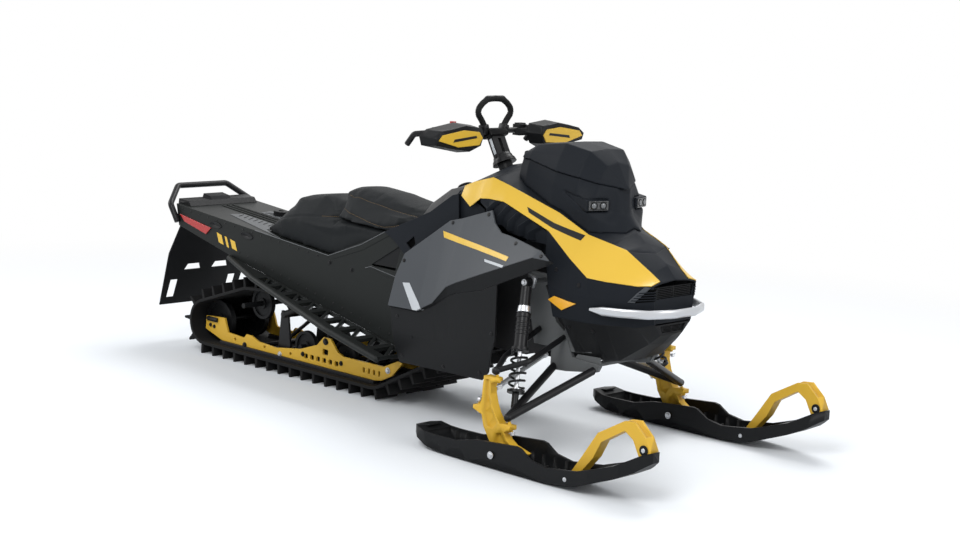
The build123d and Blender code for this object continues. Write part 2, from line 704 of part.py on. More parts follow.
# Columns: x, z and half width of the visor's crown, z of the crown's edge, y and z of
# the side's crease, y and z of the eave.
VISOR = (
    (538, 1049, 60, 1047, 92, 1034, 105, 1017),
    (600, 1074, 85, 1071, 118, 1048, 138, 1019),
    (745, 1091, 100, 1088, 132, 1040, 157, 990),
    (850, 1075, 92, 1068, 128, 1024, 154, 977),
    (905, 1030, 60, 1018, 86, 988, 104, 957),
    (935, 975, 25, 970, 36, 958, 44, 945),
    (952, 946, 8, 944, 12, 941, 15, 938),
)
# Columns: x, z and half width of the top under the visor, y and z of the brow over the
# lamp, y and z of the chin under it, y of the foot.
HOUSING = (
    (538, 1017, 97, 108, 990, 113, 970, 118),
    (600, 1019, 130, 142, 975, 147, 950, 150),
    (745, 990, 147, 161, 945, 168, 900, 172),
    (850, 977, 144, 160, 915, 165, 865, 161),
    (905, 957, 96, 150, 872, 154, 852, 147),
    (935, 945, 36, 58, 858, 104, 830, 116),
    (960, 858, 8, 26, 848, 62, 818, 86),
    (992, 812, 8, 18, 808, 28, 804, 44),
)
LAMP = Location((914, 117, 884), (0, 0, 17))
LAMP_SIZE = (24.0, 80.0, 32.0)
POCKET_RIM = 6.0


def make_pod():
    visor_rings = []
    for x, crown_z, crown_y, edge_z, crease_y, crease_z, eave_y, eave_z in VISOR:
        half = ((0, crown_z), (crown_y, edge_z), (crease_y, crease_z), (eave_y, eave_z), (0, eave_z))
        visor_rings.append((x, both_sides(half)))
    with BuildPart() as visor:
        ring_loft(visor_rings)
    save(visor, "visor")
    deep, wide, high = LAMP_SIZE
    with BuildPart() as pocket:
        with Locations(LAMP):
            Box(deep, wide + 2 * POCKET_RIM, high + 2 * POCKET_RIM)
        side_plate(((900, 898), (900, 868), (765, 938)), 151, 260)
        mirror(about=Plane.XZ)
    rows = list(HOUSING)
    for near, far in zip(HOUSING, HOUSING[1:]):
        for x in sorted({(near[0] + far[0]) / 2, *(row[0] for row in BODY)}):
            if near[0] + 2 < x < far[0] - 2:
                share = (x - near[0]) / (far[0] - near[0])
                rows.append(tuple(a + (b - a) * share for a, b in zip(near, far)))
    with BuildPart() as housing:
        rings = []
        for x, top_z, top_y, brow_y, brow_z, chin_y, chin_z, foot_y in sorted(rows):
            top = top_z - SEAT_GAP
            foot_z = hood_height(x, foot_y) + 2 * SEAT_GAP
            half = ((0, top), (top_y, top), (brow_y, brow_z), (chin_y, chin_z), (foot_y, foot_z),
                    (0, hood_height(x, 0) + 2 * SEAT_GAP))
            rings.append((x, both_sides(half)))
        ring_loft(rings)
        add(pocket.part, mode=Mode.SUBTRACT)
    save(housing, "gauge_pod")
    with BuildPart() as lamps:
        with Locations(LAMP):
            with Locations((-SEAT_GAP, 0, 0)):
                Box(deep - 4 * SEAT_GAP, wide, high)
        mirror(about=Plane.XZ)
    save(lamps, "headlamps")
    with BuildPart() as gauge:
        face_x = VISOR[0][0] - SEAT_GAP
        low = hood_height(face_x - 20, 0) + 4 * SEAT_GAP
        side_plate(((face_x, low), (face_x, 1042), (face_x - 10, 1038), (face_x - 20, low + 4)), -80, 80)
    save(gauge, "gauge")


# ---------------------------------------------------------------- side panels
# Columns: x, then z of the bevel's upper edge and of its lower edge.
SIDE = (
    (60, 426, 421),
    (250, 430, 424),
    (330, 470, 462),
    (399, 540, 506),
    (442, 560, 522),
    (570, 610, 552),
    (813, 702, 655),
    (865, 701, 677),
    (903, 700, 692),
)
SIDE_TOP_Y = 232.0
SIDE_TOP_Z = 860.0
SIDE_WIDE_Y = 332.0
SIDE_REAR_X = 96.0
TOE_X = 640.0


def side_skin():
    rings = []
    for x, bevel_z, lower_z in SIDE:
        outer = [(SIDE_TOP_Y, SIDE_TOP_Z), (SIDE_WIDE_Y, bevel_z), (SIDE_WIDE_Y - 14, lower_z),
                 (SIDE_WIDE_Y - 26, min(330, lower_z - 20)), (SIDE_WIDE_Y - 60, 200)]
        inner = [(y - 6, z) for y, z in reversed(outer)]
        rings.append((x, [(-y, z) for y, z in outer + inner]))
    with BuildPart() as skin:
        ring_loft(rings)
    return skin.part


def side_line(column, x_from, x_to, rise):
    """One of the bevel's two edges, from the side."""
    inside = [(row[0], row[column] + rise) for row in SIDE if x_from < row[0] < x_to]
    ends = []
    for x in (x_from, x_to):
        for low, high in zip(SIDE, SIDE[1:]):
            if low[0] <= x <= high[0]:
                share = (x - low[0]) / (high[0] - low[0])
                ends.append((x, low[column] + (high[column] - low[column]) * share + rise))
                break
    return [ends[0]] + inside + [ends[1]]


def make_side_panels():
    skin = side_skin()
    tip_x = SIDE[-1][0]
    with BuildPart() as upper:
        add(skin)
        top = [(835, 729), (658, 756), (608, 761), (562, 790), (531, 831), (393, 786), (334, 772)]
        rear = [(130, 625), (104, 540)]
        side_plate(side_line(1, SIDE_REAR_X, tip_x - 12, SEAM) + top + rear, -400, 0, Mode.INTERSECT)
        side_plate(((300, 672), (306, 672), (306, 690), (300, 690)), -270, -TUNNEL_HALF - SEAT_GAP)
    save_both(upper, "side_panels")
    with BuildPart() as bevel:
        add(skin)
        edge = side_line(1, SIDE_REAR_X, tip_x - 4, -SEAM) + side_line(2, SIDE_REAR_X, tip_x - 4, SEAM)[::-1]
        side_plate(edge, -400, 0, Mode.INTERSECT)
    save_both(bevel, "panel_bevels")
    with BuildPart() as lower:
        add(skin)
        foot = [(632, 378), (585, 250), (545, 214), (110, 205), (97, 260)]
        side_plate(side_line(2, SIDE_REAR_X, TOE_X, -SEAM) + foot, -400, 0, Mode.INTERSECT)
        side_plate(((200, 315), (206, 315), (206, 335), (200, 335)), -306, -TUNNEL_HALF - SEAT_GAP)
    save_both(lower, "lower_panels")


# Columns: x and z of each slat's top, of its knee and of its foot.
LOUVRES = (
    (538, 868, 495, 835, 492, 812),
    (595, 858, 548, 812, 538, 781),
    (654, 846, 602, 800, 598, 764),
    (711, 826, 651, 789, 652, 753),
    (760, 804, 700, 773, 706, 747),
)
LOUVRE_BACK_Y = 222.0
LOUVRE_WIDTH, LOUVRE_RISE = 24.0, 13.0


def louvre_arm(knee, end):
    """Half of a slat: a wedge in plan, drawn along a slope seen from the side."""
    x, z = knee
    wedge = ((x, -LOUVRE_BACK_Y + 1), (x + LOUVRE_WIDTH, -LOUVRE_BACK_Y + 1),
             (x + LOUVRE_WIDTH, -LOUVRE_BACK_Y - 3), (x + 3, -LOUVRE_BACK_Y - LOUVRE_RISE), (x, -LOUVRE_BACK_Y - LOUVRE_RISE))
    with BuildSketch(Plane.XY.offset(z)) as face:
        outline(wedge)
    extrude(face.sketch, amount=math.dist(knee, end), dir=(end[0] - x, 0, end[1] - z))


def make_louvres():
    with BuildPart() as louvres:
        field = ((452, 850), (452, 864), (493, 865.8), (570, 862.8), (790, 780), (790, 735), (700, 742), (600, 757),
                 (540, 790))
        side_plate(field, -LOUVRE_BACK_Y, -LOUVRE_BACK_Y + 4)
        for top_x, top_z, knee_x, knee_z, foot_x, foot_z in LOUVRES:
            louvre_arm((knee_x, knee_z), (top_x, top_z))
            louvre_arm((knee_x, knee_z), (foot_x, foot_z))
        side_plate(((440, 700), (820, 700), (820, 752), (790, 786), (570, 862.8), (493, 865.8), (440, 865)), -400, 0,
                   Mode.INTERSECT)
    save_both(louvres, "louvres")


# ---------------------------------------------------------------- nose details
def slats(mouth, count, thick, front):
    """Level slats across a grille mouth, and three uprights behind them."""
    (top_y, top_z), (low_y, low_z) = mouth[:2]
    for number in range(count):
        share = (number + 0.5) / count
        z = low_z + (top_z - low_z) * share - thick / 2
        reach = low_y + (top_y - low_y) * share + 2
        plan_plate(((front, -reach), (front, reach), (front - 14, reach), (front - 14, -reach)), z, z + thick)
    for y in (8 - low_y, 0, low_y - 8):
        with Locations((front - 10, y, (low_z + top_z) / 2)):
            Box(18, 4, top_z - low_z - 4)


def make_nose_details():
    back = NOSE_X - SKIN - SEAT_GAP
    with BuildPart() as grille:
        slats(GRILLE_MOUTH, 7, 2.8, back)
    save(grille, "upper_grille")
    with BuildPart() as lower:
        slats(LOWER_MOUTH, 5, 2.4, back)
    save(lower, "lower_grille")
    with BuildPart() as accent:
        skin(nose_x(1100), nose_x(1183), SHOULDER, SILL, -SEAT_GAP - 3, -SEAT_GAP)
        mirror(about=Plane.XZ, mode=Mode.REPLACE)
        strip = ((1122, 577), (1142, 577), (1180, 632), (1166, 634))
        side_plate([(nose_x(x), z) for x, z in strip], -400, 0, Mode.INTERSECT)
    save_both(accent, "nose_accents")
    with BuildPart() as bumper:
        start_x = nose_x(1014)
        end_y = side_reach(start_x, 542) + 16
        half = [(start_x, -end_y)] + [(nose_x(x), y) for x, y in ((1120, -205), (1196, -152), (1236, -58))]
        path = half + [(x, -y) for x, y in reversed(half)]
        loops = []
        for z, thick in ((527, 2.5), (533, 6), (550, 6), (557, 2.5)):
            with BuildSketch(Plane.XY.offset(z)) as face:
                outline(ribbon(path, thick))
            loops.append(face.sketch.face())
        loft(loops, ruled=True)
        for side in SIDES.values():
            ends = sorted((side * end_y, side * (side_reach(start_x - 1, 542) + SEAT_GAP)))
            cross_rod(start_x + 6, 542, 7, *ends)
    save(bumper, "front_bumper")
    with BuildPart() as amber:
        skin(812, 955, SHOULDER, SILL, -SEAT_GAP - 4, -SEAT_GAP)
        mirror(about=Plane.XZ, mode=Mode.REPLACE)
        side_plate(((818, 549), (849, 566), (951, 553), (884, 521)), -400, 0, Mode.INTERSECT)
    save_both(amber, "reflectors")


def make_front_frame():
    tower = ((640, 622), (766, 618), (766, 588), (728, 580), (785, 455), (832, 425), (868, 340), (1000, 334),
             (985, 306), (846, 286), (768, 281), (768, 362), (684, 362), (672, 420), (640, 560))
    with BuildPart() as frame:
        for side in SIDES.values():
            edges = sorted((side * 140, side * 156))
            side_plate(tower, *edges)
        cross_rod(960, body_points(960)[KEEL][1] - 10 - SEAT_GAP, 10, -150, 150)
        cross_rod(826, 400, 14, -150, 150)
        eye_face = -SHOCK_TOP[1] - 14 - SEAT_GAP
        cross_rod(SHOCK_TOP[0], SHOCK_TOP[2], 9, -eye_face, eye_face)
        cross_rod(680, 590, 14, -150, 150)
    save(frame, "front_frame")
    with BuildPart() as engine:
        rear, front = TUNNEL_FRONT_X + SEAT_GAP, 640 - SEAT_GAP
        with Locations(((rear + front) / 2, 0, 470)):
            Box(front - rear, 290, 320)
    save(engine, "engine_block")


# ---------------------------------------------------------------- front suspension
def kingpin():
    low, high = Vector(*LOWER_BALL), Vector(*UPPER_BALL)
    return (high - low).normalized()


def make_arms():
    frame_face = -156.0 - SEAT_GAP
    with BuildPart() as lower:
        ball(LOWER_BALL, BALL_RADIUS)
        rod(LOWER_BALL, (972, frame_face + 20, 316), ARM_TUBE)
        rod(LOWER_BALL, (778, frame_face + 20, 300), ARM_TUBE)
        rod(between(SHOCK_TOP, SHOCK_BOTTOM, 0.902), between(SHOCK_TOP, SHOCK_BOTTOM, 1.02), 12)
        side_plate(((0, 0), (1300, 0), (1300, 900), (0, 900)), frame_face, 400, Mode.SUBTRACT)
    save_both(lower, "lower_arms")
    with BuildPart() as upper:
        ball(UPPER_BALL, BALL_RADIUS)
        tube((UPPER_BALL, (860, -372, 350), (822, frame_face + 20, 410)), 10, 40)
        tube((UPPER_BALL, (750, -376, 350), (705, frame_face + 20, 425)), 10, 40)
        side_plate(((0, 0), (1300, 0), (1300, 900), (0, 900)), frame_face, 400, Mode.SUBTRACT)
    save_both(upper, "upper_arms")


def make_shocks():
    top, foot = SHOCK_TOP, SHOCK_BOTTOM
    with BuildPart() as shock:
        rod(between(top, foot, 0.04), between(top, foot, 0.55), 19)
        rod(between(top, foot, 0.535), between(top, foot, 0.56), 31)
        rod(between(top, foot, 0.5), between(top, foot, 0.9), 7)
        rod(between(top, foot, 0.875), between(top, foot, 0.9), 31)
        cross_rod(top[0], top[2], 16, top[1] - 14, top[1] + 14)
    save_both(shock, "shocks")
    start, end = between(top, foot, 0.5706), between(top, foot, 0.8644)
    axis = Vector(*end) - Vector(*start)
    with BuildPart() as spring:
        with BuildLine() as path:
            Helix(pitch=axis.length / 4, height=axis.length, radius=27, center=start, direction=axis)
        with BuildSketch(Plane(origin=path.line @ 0, z_dir=path.line % 0)):
            RegularPolygon(4.5, 6)
        sweep(path=path.line, is_frenet=True)
    save_both(spring, "springs")


def make_spindles():
    middle = SKI_Y - 5
    web = (
        (768, 300), (826, 300), (826, 286), (801, 280), (801, 242), (812, 205), (826, 176), (850, 146),
        (900, 146), (900, 130), (872, 120), (884, 95), (910, 78), (974, 61), (954, 44), (920, 40),
        (900, 29), (856, 29), (834, 46), (819, 57), (776, 121), (764, 162), (722, 176), (722, 190), (752, 192),
        (761, 212),
    )
    with BuildPart() as spindle:
        side_plate(web, -middle - SPINDLE_THICK / 2, -middle + SPINDLE_THICK / 2)
        for pocket in SPINDLE_POCKETS:
            side_plate(pocket, -middle - SPINDLE_THICK / 2 - 1, -middle - SPINDLE_WEB / 2, Mode.SUBTRACT)
            side_plate(pocket, -middle + SPINDLE_WEB / 2, -middle + SPINDLE_THICK / 2 + 1, Mode.SUBTRACT)
        cross_rod(SKI_BOLT_X, SKI_BOLT_Z, SKI_BOLT_RADIUS, -SKI_Y - SKI_HALF - 6, -SKI_Y + SKI_HALF + 6)
        pin = kingpin()
        for centre, length in ((LOWER_BALL, 62), (UPPER_BALL, 44)):
            middle_of_ball = Vector(*centre)
            rod(tuple(middle_of_ball - pin * (BALL_RADIUS + SEAT_GAP)), tuple(middle_of_ball - pin * length), STUD_RADIUS)
        foot = Vector(*TIE_ROD_OUTER)
        rod(tuple(foot - Vector(0, 0, 22)), tuple(foot - Vector(0, 0, TIE_ROD_EYE + SEAT_GAP)), 5)
    save_pair(spindle, "spindle")


def make_tie_rods():
    with BuildPart() as rod_part:
        rod(TIE_ROD_OUTER, TIE_ROD_INNER, TIE_ROD_TUBE)
        ball(TIE_ROD_OUTER, TIE_ROD_EYE)
        ball(TIE_ROD_INNER, 13)
    save_pair(rod_part, "tie_rod")


# ---------------------------------------------------------------- skis
def ski_x(x):
    """Where a place drawn for the usual ski lies when its tip is nearer or further."""
    return SKI_BOLT_X + (x - SKI_BOLT_X) * (SKI_TIP_X - SKI_BOLT_X) / (1524 - SKI_BOLT_X)


def drawn(points):
    return [(ski_x(x) if x > SKI_BOLT_X else x, z) for x, z in points]


def make_skis():
    bottom = ((SKI_REAR_X, 44), (560, 12), (640, 6), (1120, 6), (1250, 22), (1400, 78), (1470, 112), (1524, 150))
    top = ((1524, 184), (1490, 172), (1400, 122), (1250, 74), (1120, 58), (1050, 70), (1006, 98), (985, 102),
           (800, 88), (700, 66), (593, 64), (540, 66), (500, 76), (SKI_REAR_X, 72))
    width = ((SKI_REAR_X, 34), (496, 58), (540, 68), (760, SKI_HALF), (1300, SKI_HALF), (1420, 60), (1490, 40), (1524, 16))
    hollow = ((548, 40), (600, 22), (1120, 16), (1250, 34), (1370, 82), (1300, 300), (548, 300))
    wall = SKI_HALF - 11
    with BuildPart() as ski:
        side_plate(drawn(bottom + top), -SKI_Y - SKI_HALF, -SKI_Y + SKI_HALF)
        plan = [(x, -SKI_Y - half) for x, half in drawn(width)] + [(x, half - SKI_Y) for x, half in drawn(width)[::-1]]
        plan_plate(plan, 0, 300, Mode.INTERSECT)
        side_plate(drawn(hollow), -SKI_Y - wall, -SKI_Y + wall, Mode.SUBTRACT)
        side_plate(drawn(((620, 6.5), (1130, 6.5), (1110, 0), (640, 0))), -SKI_Y - 10, -SKI_Y + 10)
        for number in range(13):
            x = ski_x(590 + number * 52)
            for side in SIDES.values():
                with Locations((x, side * (wall - 8) - SKI_Y, 38)):
                    Box(5, 18, 44)
        cross_rod(SKI_BOLT_X, SKI_BOLT_Z, SKI_BOLT_RADIUS + 0.1, -SKI_Y - 80, -SKI_Y + 80, Mode.SUBTRACT)
    save_pair(ski, "ski")
    with BuildPart() as loop:
        path = ((1170, 23.3), (1236, 116), (1271, 168), (1297, 206), (1404, 266), (1446, 270), (1494, 226),
                (1516, 182.2), (1490, 173.1), (1470, 162.4), (1444, 212), (1408, 235), (1313, 178), (1282, 118), (1205, 28.2))
        side_plate(drawn(path), -SKI_Y - 22, -SKI_Y + 22)
        groove = ((1215, 70), (1300, 196), (1404, 251), (1440, 254), (1490, 205), (1500, 400), (1200, 400))
        side_plate(drawn(groove), -SKI_Y - 11, -SKI_Y + 11, Mode.SUBTRACT)
    save_pair(loop, "ski_loop")


# ---------------------------------------------------------------- handlebar
# Columns: y and z of the guard's open back, then y and z of its closed front.
GUARD = (
    (142, 1085, 158, 1084),
    (160, 1120, 170, 1112),
    (250, 1131, 250, 1124),
    (385, 1110, 370, 1104),
    (420, 1085, 402, 1082),
    (408, 1052, 392, 1057),
    (225, 1020, 230, 1029),
    (168, 1044, 172, 1049),
)
GUARD_BACK_X, GUARD_FRONT_X = 322.0, 392.0
GUARD_WALL = 4.0
BAR_HALF = (BAR_CENTRE, (291, -130, 1092), (250, -300, 1088), (195, -322, 1080), (160, -322, 1040))


def make_guard():
    wide = 130.0
    rings = []
    for depth, shrink in ((0, 0), (GUARD_WALL, GUARD_WALL)):
        back = [(-y, z) for y, z, _, _ in GUARD]
        front = [(-y, z) for _, _, y, z in GUARD]
        rings.append([
            [(y + shrink * (-280 - y) / wide, z + shrink * (1075 - z) / 48) for y, z in ring] for ring in (back, front)
        ])
    with BuildPart() as guard:
        ring_loft([(GUARD_BACK_X, rings[0][0]), (GUARD_FRONT_X, rings[0][1])])
        ring_loft([(GUARD_BACK_X - 1, rings[1][0]), (GUARD_FRONT_X - GUARD_WALL, rings[1][1])], Mode.SUBTRACT)
        front = BAR_CENTRE[0] + BAR_RADIUS + SEAT_GAP
        arm = ((front, -104), (GUARD_BACK_X + 10, -146), (GUARD_BACK_X + 12, -166), (front, -122))
        plan_plate(arm, 1076, 1100)
    save_both(guard, "hand_guards")
    with BuildPart() as insert:
        panel = ((-166, 1078), (-184, 1100), (-262, 1108), (-372, 1092), (-390, 1072), (-290, 1047), (-182, 1052))
        with BuildSketch(Plane.YZ.offset(GUARD_FRONT_X + SEAT_GAP)) as face:
            outline(panel)
        extrude(face.sketch, amount=3)
    save_both(insert, "guard_inserts")


def make_handlebar():
    with BuildPart() as bar:
        corners = BAR_HALF[:0:-1] + tuple((x, -y, z) for x, y, z in BAR_HALF[1:])
        tube(corners, BAR_RADIUS, 22)
    save(bar, "handlebar")
    axis = Vector(*BAR_CENTRE) - Vector(*POST_BASE)
    up = axis.normalized()
    with BuildPart() as riser:
        low = tuple(Vector(*POST_BASE) - axis * 1.3)
        rod(low, POST_BASE, POST_RADIUS)
        block = Plane(origin=POST_BASE, x_dir=(up.Z, 0, -up.X), z_dir=up)
        with BuildSketch(block) as section:
            Rectangle(30, 66)
        extrude(section.sketch, amount=axis.length - BAR_RADIUS - SEAT_GAP)
        with BuildSketch(block.offset(24)) as slot:
            Rectangle(60, 16)
        extrude(slot.sketch, amount=62, mode=Mode.SUBTRACT)
    save(riser, "riser")
    with BuildPart() as bearing:
        low = tuple(Vector(*POST_BASE) - up * 52)
        high = tuple(Vector(*POST_BASE) - up * 8)
        rod(low, high, POST_RADIUS + SWING - SEAT_GAP)
        rod(low, high, POST_RADIUS + BEARING_PLAY, Mode.SUBTRACT)
    save(bearing, "steering_bearing")
    with BuildPart() as strap:
        z = BAR_CENTRE[2] + BAR_RADIUS + SEAT_GAP + 7
        half = ((-52, z), (-88, z + 44), (-88, z + 66), (-42, z + 104))
        points = [(BAR_CENTRE[0], y, h) for y, h in half]
        points += [(BAR_CENTRE[0], -y, h) for y, h in reversed(half)]
        tube(points, 10, 12)
    save(strap, "strap_loop")
    make_guard()
    inner, outer = BAR_HALF[1], BAR_HALF[2]
    with BuildPart() as grips:
        start, end = between(inner, outer, 0.3), between(inner, outer, 0.88)
        rod(start, end, GRIP_RADIUS)
        rod(start, between(inner, outer, 0.34), GRIP_RADIUS + 4)
        rod(between(inner, outer, 0.2), between(inner, outer, 1.1), BAR_RADIUS + SEAT_GAP, Mode.SUBTRACT)
    save_both(grips, "grips")
    with BuildPart() as controls:
        with Locations((282, -150, BAR_CENTRE[2])):
            Box(36, 34, 42)
        side_plate(((266, 1100), (298, 1100), (290, 1118), (266, 1118)), -176, -140)
        rod(between(inner, outer, -0.2), between(inner, outer, 0.4), BAR_RADIUS + SEAT_GAP, Mode.SUBTRACT)
    save_both(controls, "controls")


def main():
    make_track()
    make_rails()
    make_idlers()
    make_drive_axle()
    make_skid_arms()
    make_tunnel()
    make_fuel_tank()
    make_running_boards()
    make_rear_end()
    make_seat()
    make_body_panels()
    make_bands()
    make_pod()
    make_side_panels()
    make_louvres()
    make_nose_details()
    make_front_frame()
    make_arms()
    make_shocks()
    make_spindles()
    make_tie_rods()
    make_skis()
    make_handlebar()


main()
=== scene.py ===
# %% [markdown]
# # Dressing a mountain snowmobile
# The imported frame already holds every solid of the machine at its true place.
# This lesson gives those solids their finishes, and adds the trim that a maker
# fits last: padded seat covers, grips, bolts, springs and stripes.

# %% Load the frame
import json
import math

import bmesh
import bpy
from mathutils import Matrix, Vector
from mathutils.bvhtree import BVHTree

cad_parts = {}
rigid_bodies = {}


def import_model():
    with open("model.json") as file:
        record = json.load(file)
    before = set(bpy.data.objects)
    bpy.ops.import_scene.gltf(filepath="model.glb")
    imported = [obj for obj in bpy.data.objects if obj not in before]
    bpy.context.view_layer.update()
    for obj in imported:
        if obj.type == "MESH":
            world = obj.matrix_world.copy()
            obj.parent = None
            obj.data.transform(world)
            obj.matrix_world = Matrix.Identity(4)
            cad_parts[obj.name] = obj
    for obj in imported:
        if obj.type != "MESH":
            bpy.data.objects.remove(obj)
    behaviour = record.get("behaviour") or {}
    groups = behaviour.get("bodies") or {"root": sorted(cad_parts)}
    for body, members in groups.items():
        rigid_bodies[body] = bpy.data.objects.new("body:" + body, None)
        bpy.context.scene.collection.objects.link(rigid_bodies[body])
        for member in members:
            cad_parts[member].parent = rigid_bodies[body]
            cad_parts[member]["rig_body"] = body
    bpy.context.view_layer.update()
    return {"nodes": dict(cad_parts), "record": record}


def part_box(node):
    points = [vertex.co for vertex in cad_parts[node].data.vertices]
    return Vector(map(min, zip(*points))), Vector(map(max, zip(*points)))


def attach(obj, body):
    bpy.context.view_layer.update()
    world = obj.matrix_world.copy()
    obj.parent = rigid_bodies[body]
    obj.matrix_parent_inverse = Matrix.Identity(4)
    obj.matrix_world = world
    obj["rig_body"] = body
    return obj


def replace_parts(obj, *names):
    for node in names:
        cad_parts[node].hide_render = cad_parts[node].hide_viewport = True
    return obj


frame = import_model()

# %% [markdown]
# ## Words used all through the lesson
# A few short steps come back in nearly every piece: an object has to be put in
# the scene, a mesh has to be shaded smooth, an operator wants the whole bmesh or
# gives back a mixed list, and a shader node needs its numbers. Each gets one
# name here, so that the cells below say only what is particular to their piece.

# %% Small helpers
MM = 0.001
MERGE = 1e-5        # points closer than this are one point
SIDES = {"right": -1.0, "left": 1.0}


def new_object(name, data):
    """Put some data in the scene as an object."""
    made = bpy.data.objects.new(name, data)
    bpy.context.collection.objects.link(made)
    return made


def mesh_from(name, bm):
    """Turn an open bmesh into a mesh and close it."""
    mesh = bpy.data.meshes.new(name)
    bm.to_mesh(mesh)
    bm.free()
    return mesh


def pour_into(whole, bm, name):
    """Add a bmesh to another one and close it."""
    loose = mesh_from(name, bm)
    whole.from_mesh(loose)
    bpy.data.meshes.remove(loose)


def shade_smooth(mesh):
    """Let light run over the folds, so that none of the facets shows."""
    mesh.polygons.foreach_set("use_smooth", [True] * len(mesh.polygons))


def merged_copy(*nodes):
    """A bmesh of some solids, in which loose triangles that meet share their points."""
    bm = bmesh.new()
    for node in nodes:
        bm.from_mesh(frame["nodes"][node].data)
    bmesh.ops.remove_doubles(bm, verts=bm.verts, dist=MERGE)
    return bm


def everything(bm):
    return bm.verts[:] + bm.edges[:] + bm.faces[:]


def verts_in(geom):
    return [item for item in geom if isinstance(item, bmesh.types.BMVert)]


def edges_in(geom):
    return [item for item in geom if isinstance(item, bmesh.types.BMEdge)]


def once(items):
    """Items in the order they come, each only once."""
    return list(dict.fromkeys(items))


def add_node(nodes, kind, inputs=None, **settings):
    """Add a shader node, with its own settings and the plain values of its inputs."""
    node = nodes.new("ShaderNode" + kind)
    for name, value in settings.items():
        setattr(node, name, value)
    for name, value in (inputs or {}).items():
        node.inputs[name].default_value = value
    return node


print("points closer than", MERGE, "m count as one")

# %% [markdown]
# ## Where the viewer stands
# The machine is seen from its right front, a little above the seat, as a
# buyer would see it in a brochure. A long lens keeps both skis in proportion.

# %% Camera
EYE = Vector((4.872, -4.827, 1.583))
RIGHT = Vector((0.717189, 0.695619, 0.041894))
DOWN = Vector((0.135602, -0.080333, -0.987501))
AHEAD = Vector((-0.683559, 0.713905, -0.151941))
LENS_MM = 66.31


def add_camera():
    data = bpy.data.cameras.new("viewpoint")
    data.lens, data.sensor_width = LENS_MM, 36.0
    data.sensor_fit = "HORIZONTAL"
    camera = new_object("viewpoint", data)
    turn = Matrix((RIGHT, -DOWN, -AHEAD)).transposed()
    camera.matrix_world = Matrix.Translation(EYE) @ turn.to_4x4()
    bpy.context.scene.camera = camera
    return camera


camera = add_camera()
print("camera at", tuple(round(v, 2) for v in camera.location), "lens", LENS_MM, "mm")

# %% [markdown]
# ## Floor, backdrop and light
# The machine stands on a plain pale floor that keeps its shadow. Further out
# the floor turns into the same white as the surround, so no horizon cuts the
# view. That white is only for the eye, for mirrors and for glass: what lights
# the machine is a dim sky and four large soft lamps, so colours render as
# written.

# %% Stage helpers
FLOOR_SHADE = (0.8, 0.825, 0.85)
FLOOR_SIZE = 40.0
FLOOR_NEAR, FLOOR_FAR = 1.9, 4.8
SKY_STRENGTH = 0.5


def new_material(name):
    """A material with a Principled shader joined to its output."""
    material = bpy.data.materials.new(name)
    material.use_nodes = True
    nodes = material.node_tree.nodes
    return material, nodes, material.node_tree.links, nodes["Principled BSDF"]


def two_shades(nodes, links, first, second, factor):
    """One colour that wanders into another as a factor leads it."""
    mix = add_node(nodes, "Mix", data_type="RGBA")
    mix.inputs["A"].default_value = (*first, 1.0)
    mix.inputs["B"].default_value = (*second, 1.0)
    links.new(factor, mix.inputs["Factor"])
    return mix.outputs["Result"]


def seen_directly(nodes, links):
    """1 for rays of the eye, of mirrors and of glass, 0 for light on the machine."""
    path = add_node(nodes, "LightPath")
    total = path.outputs["Is Camera Ray"]
    for kind in ("Is Transmission Ray", "Is Glossy Ray"):
        either = add_node(nodes, "Math", operation="MAXIMUM")
        links.new(total, either.inputs[0])
        links.new(path.outputs[kind], either.inputs[1])
        total = either.outputs[0]
    return total


def floor_material():
    material, nodes, links, shader = new_material("pale_floor")
    place = add_node(nodes, "TexCoord")
    mottle = add_node(nodes, "TexNoise", {"Scale": 1.3})
    links.new(place.outputs["Object"], mottle.inputs["Vector"])
    darker = tuple(0.97 * v for v in FLOOR_SHADE)
    links.new(two_shades(nodes, links, FLOOR_SHADE, darker, mottle.outputs["Fac"]), shader.inputs["Base Color"])
    shader.inputs["Roughness"].default_value = 0.8
    reach = add_node(nodes, "VectorMath", operation="LENGTH")
    links.new(place.outputs["Object"], reach.inputs[0])
    limits = {"From Min": FLOOR_NEAR, "From Max": FLOOR_FAR}
    fade = add_node(nodes, "MapRange", limits, interpolation_type="SMOOTHSTEP")
    links.new(reach.outputs["Value"], fade.inputs["Value"])
    share = add_node(nodes, "Math", operation="MULTIPLY")
    links.new(fade.outputs["Result"], share.inputs[0])
    links.new(seen_directly(nodes, links), share.inputs[1])
    white = add_node(nodes, "Emission")
    mix = add_node(nodes, "MixShader")
    links.new(share.outputs[0], mix.inputs["Fac"])
    links.new(shader.outputs[0], mix.inputs[1])
    links.new(white.outputs[0], mix.inputs[2])
    links.new(mix.outputs[0], nodes["Material Output"].inputs["Surface"])
    return material


def add_floor():
    bm = bmesh.new()
    bmesh.ops.create_grid(bm, x_segments=2, y_segments=2, size=FLOOR_SIZE)
    floor = new_object("floor", mesh_from("floor", bm))
    floor.data.materials.append(floor_material())


def add_world():
    world = bpy.data.worlds.new("studio")
    world.use_nodes = True
    bpy.context.scene.world = world
    nodes, links = world.node_tree.nodes, world.node_tree.links
    sky = nodes["Background"]
    sky.inputs["Color"].default_value = (0.93, 0.96, 1.0, 1.0)
    sky.inputs["Strength"].default_value = SKY_STRENGTH
    white = add_node(nodes, "Background", {"Color": (1.0, 1.0, 1.0, 1.0)})
    mix = add_node(nodes, "MixShader")
    links.new(seen_directly(nodes, links), mix.inputs["Fac"])
    links.new(sky.outputs[0], mix.inputs[1])
    links.new(white.outputs[0], mix.inputs[2])
    links.new(mix.outputs[0], nodes["World Output"].inputs["Surface"])


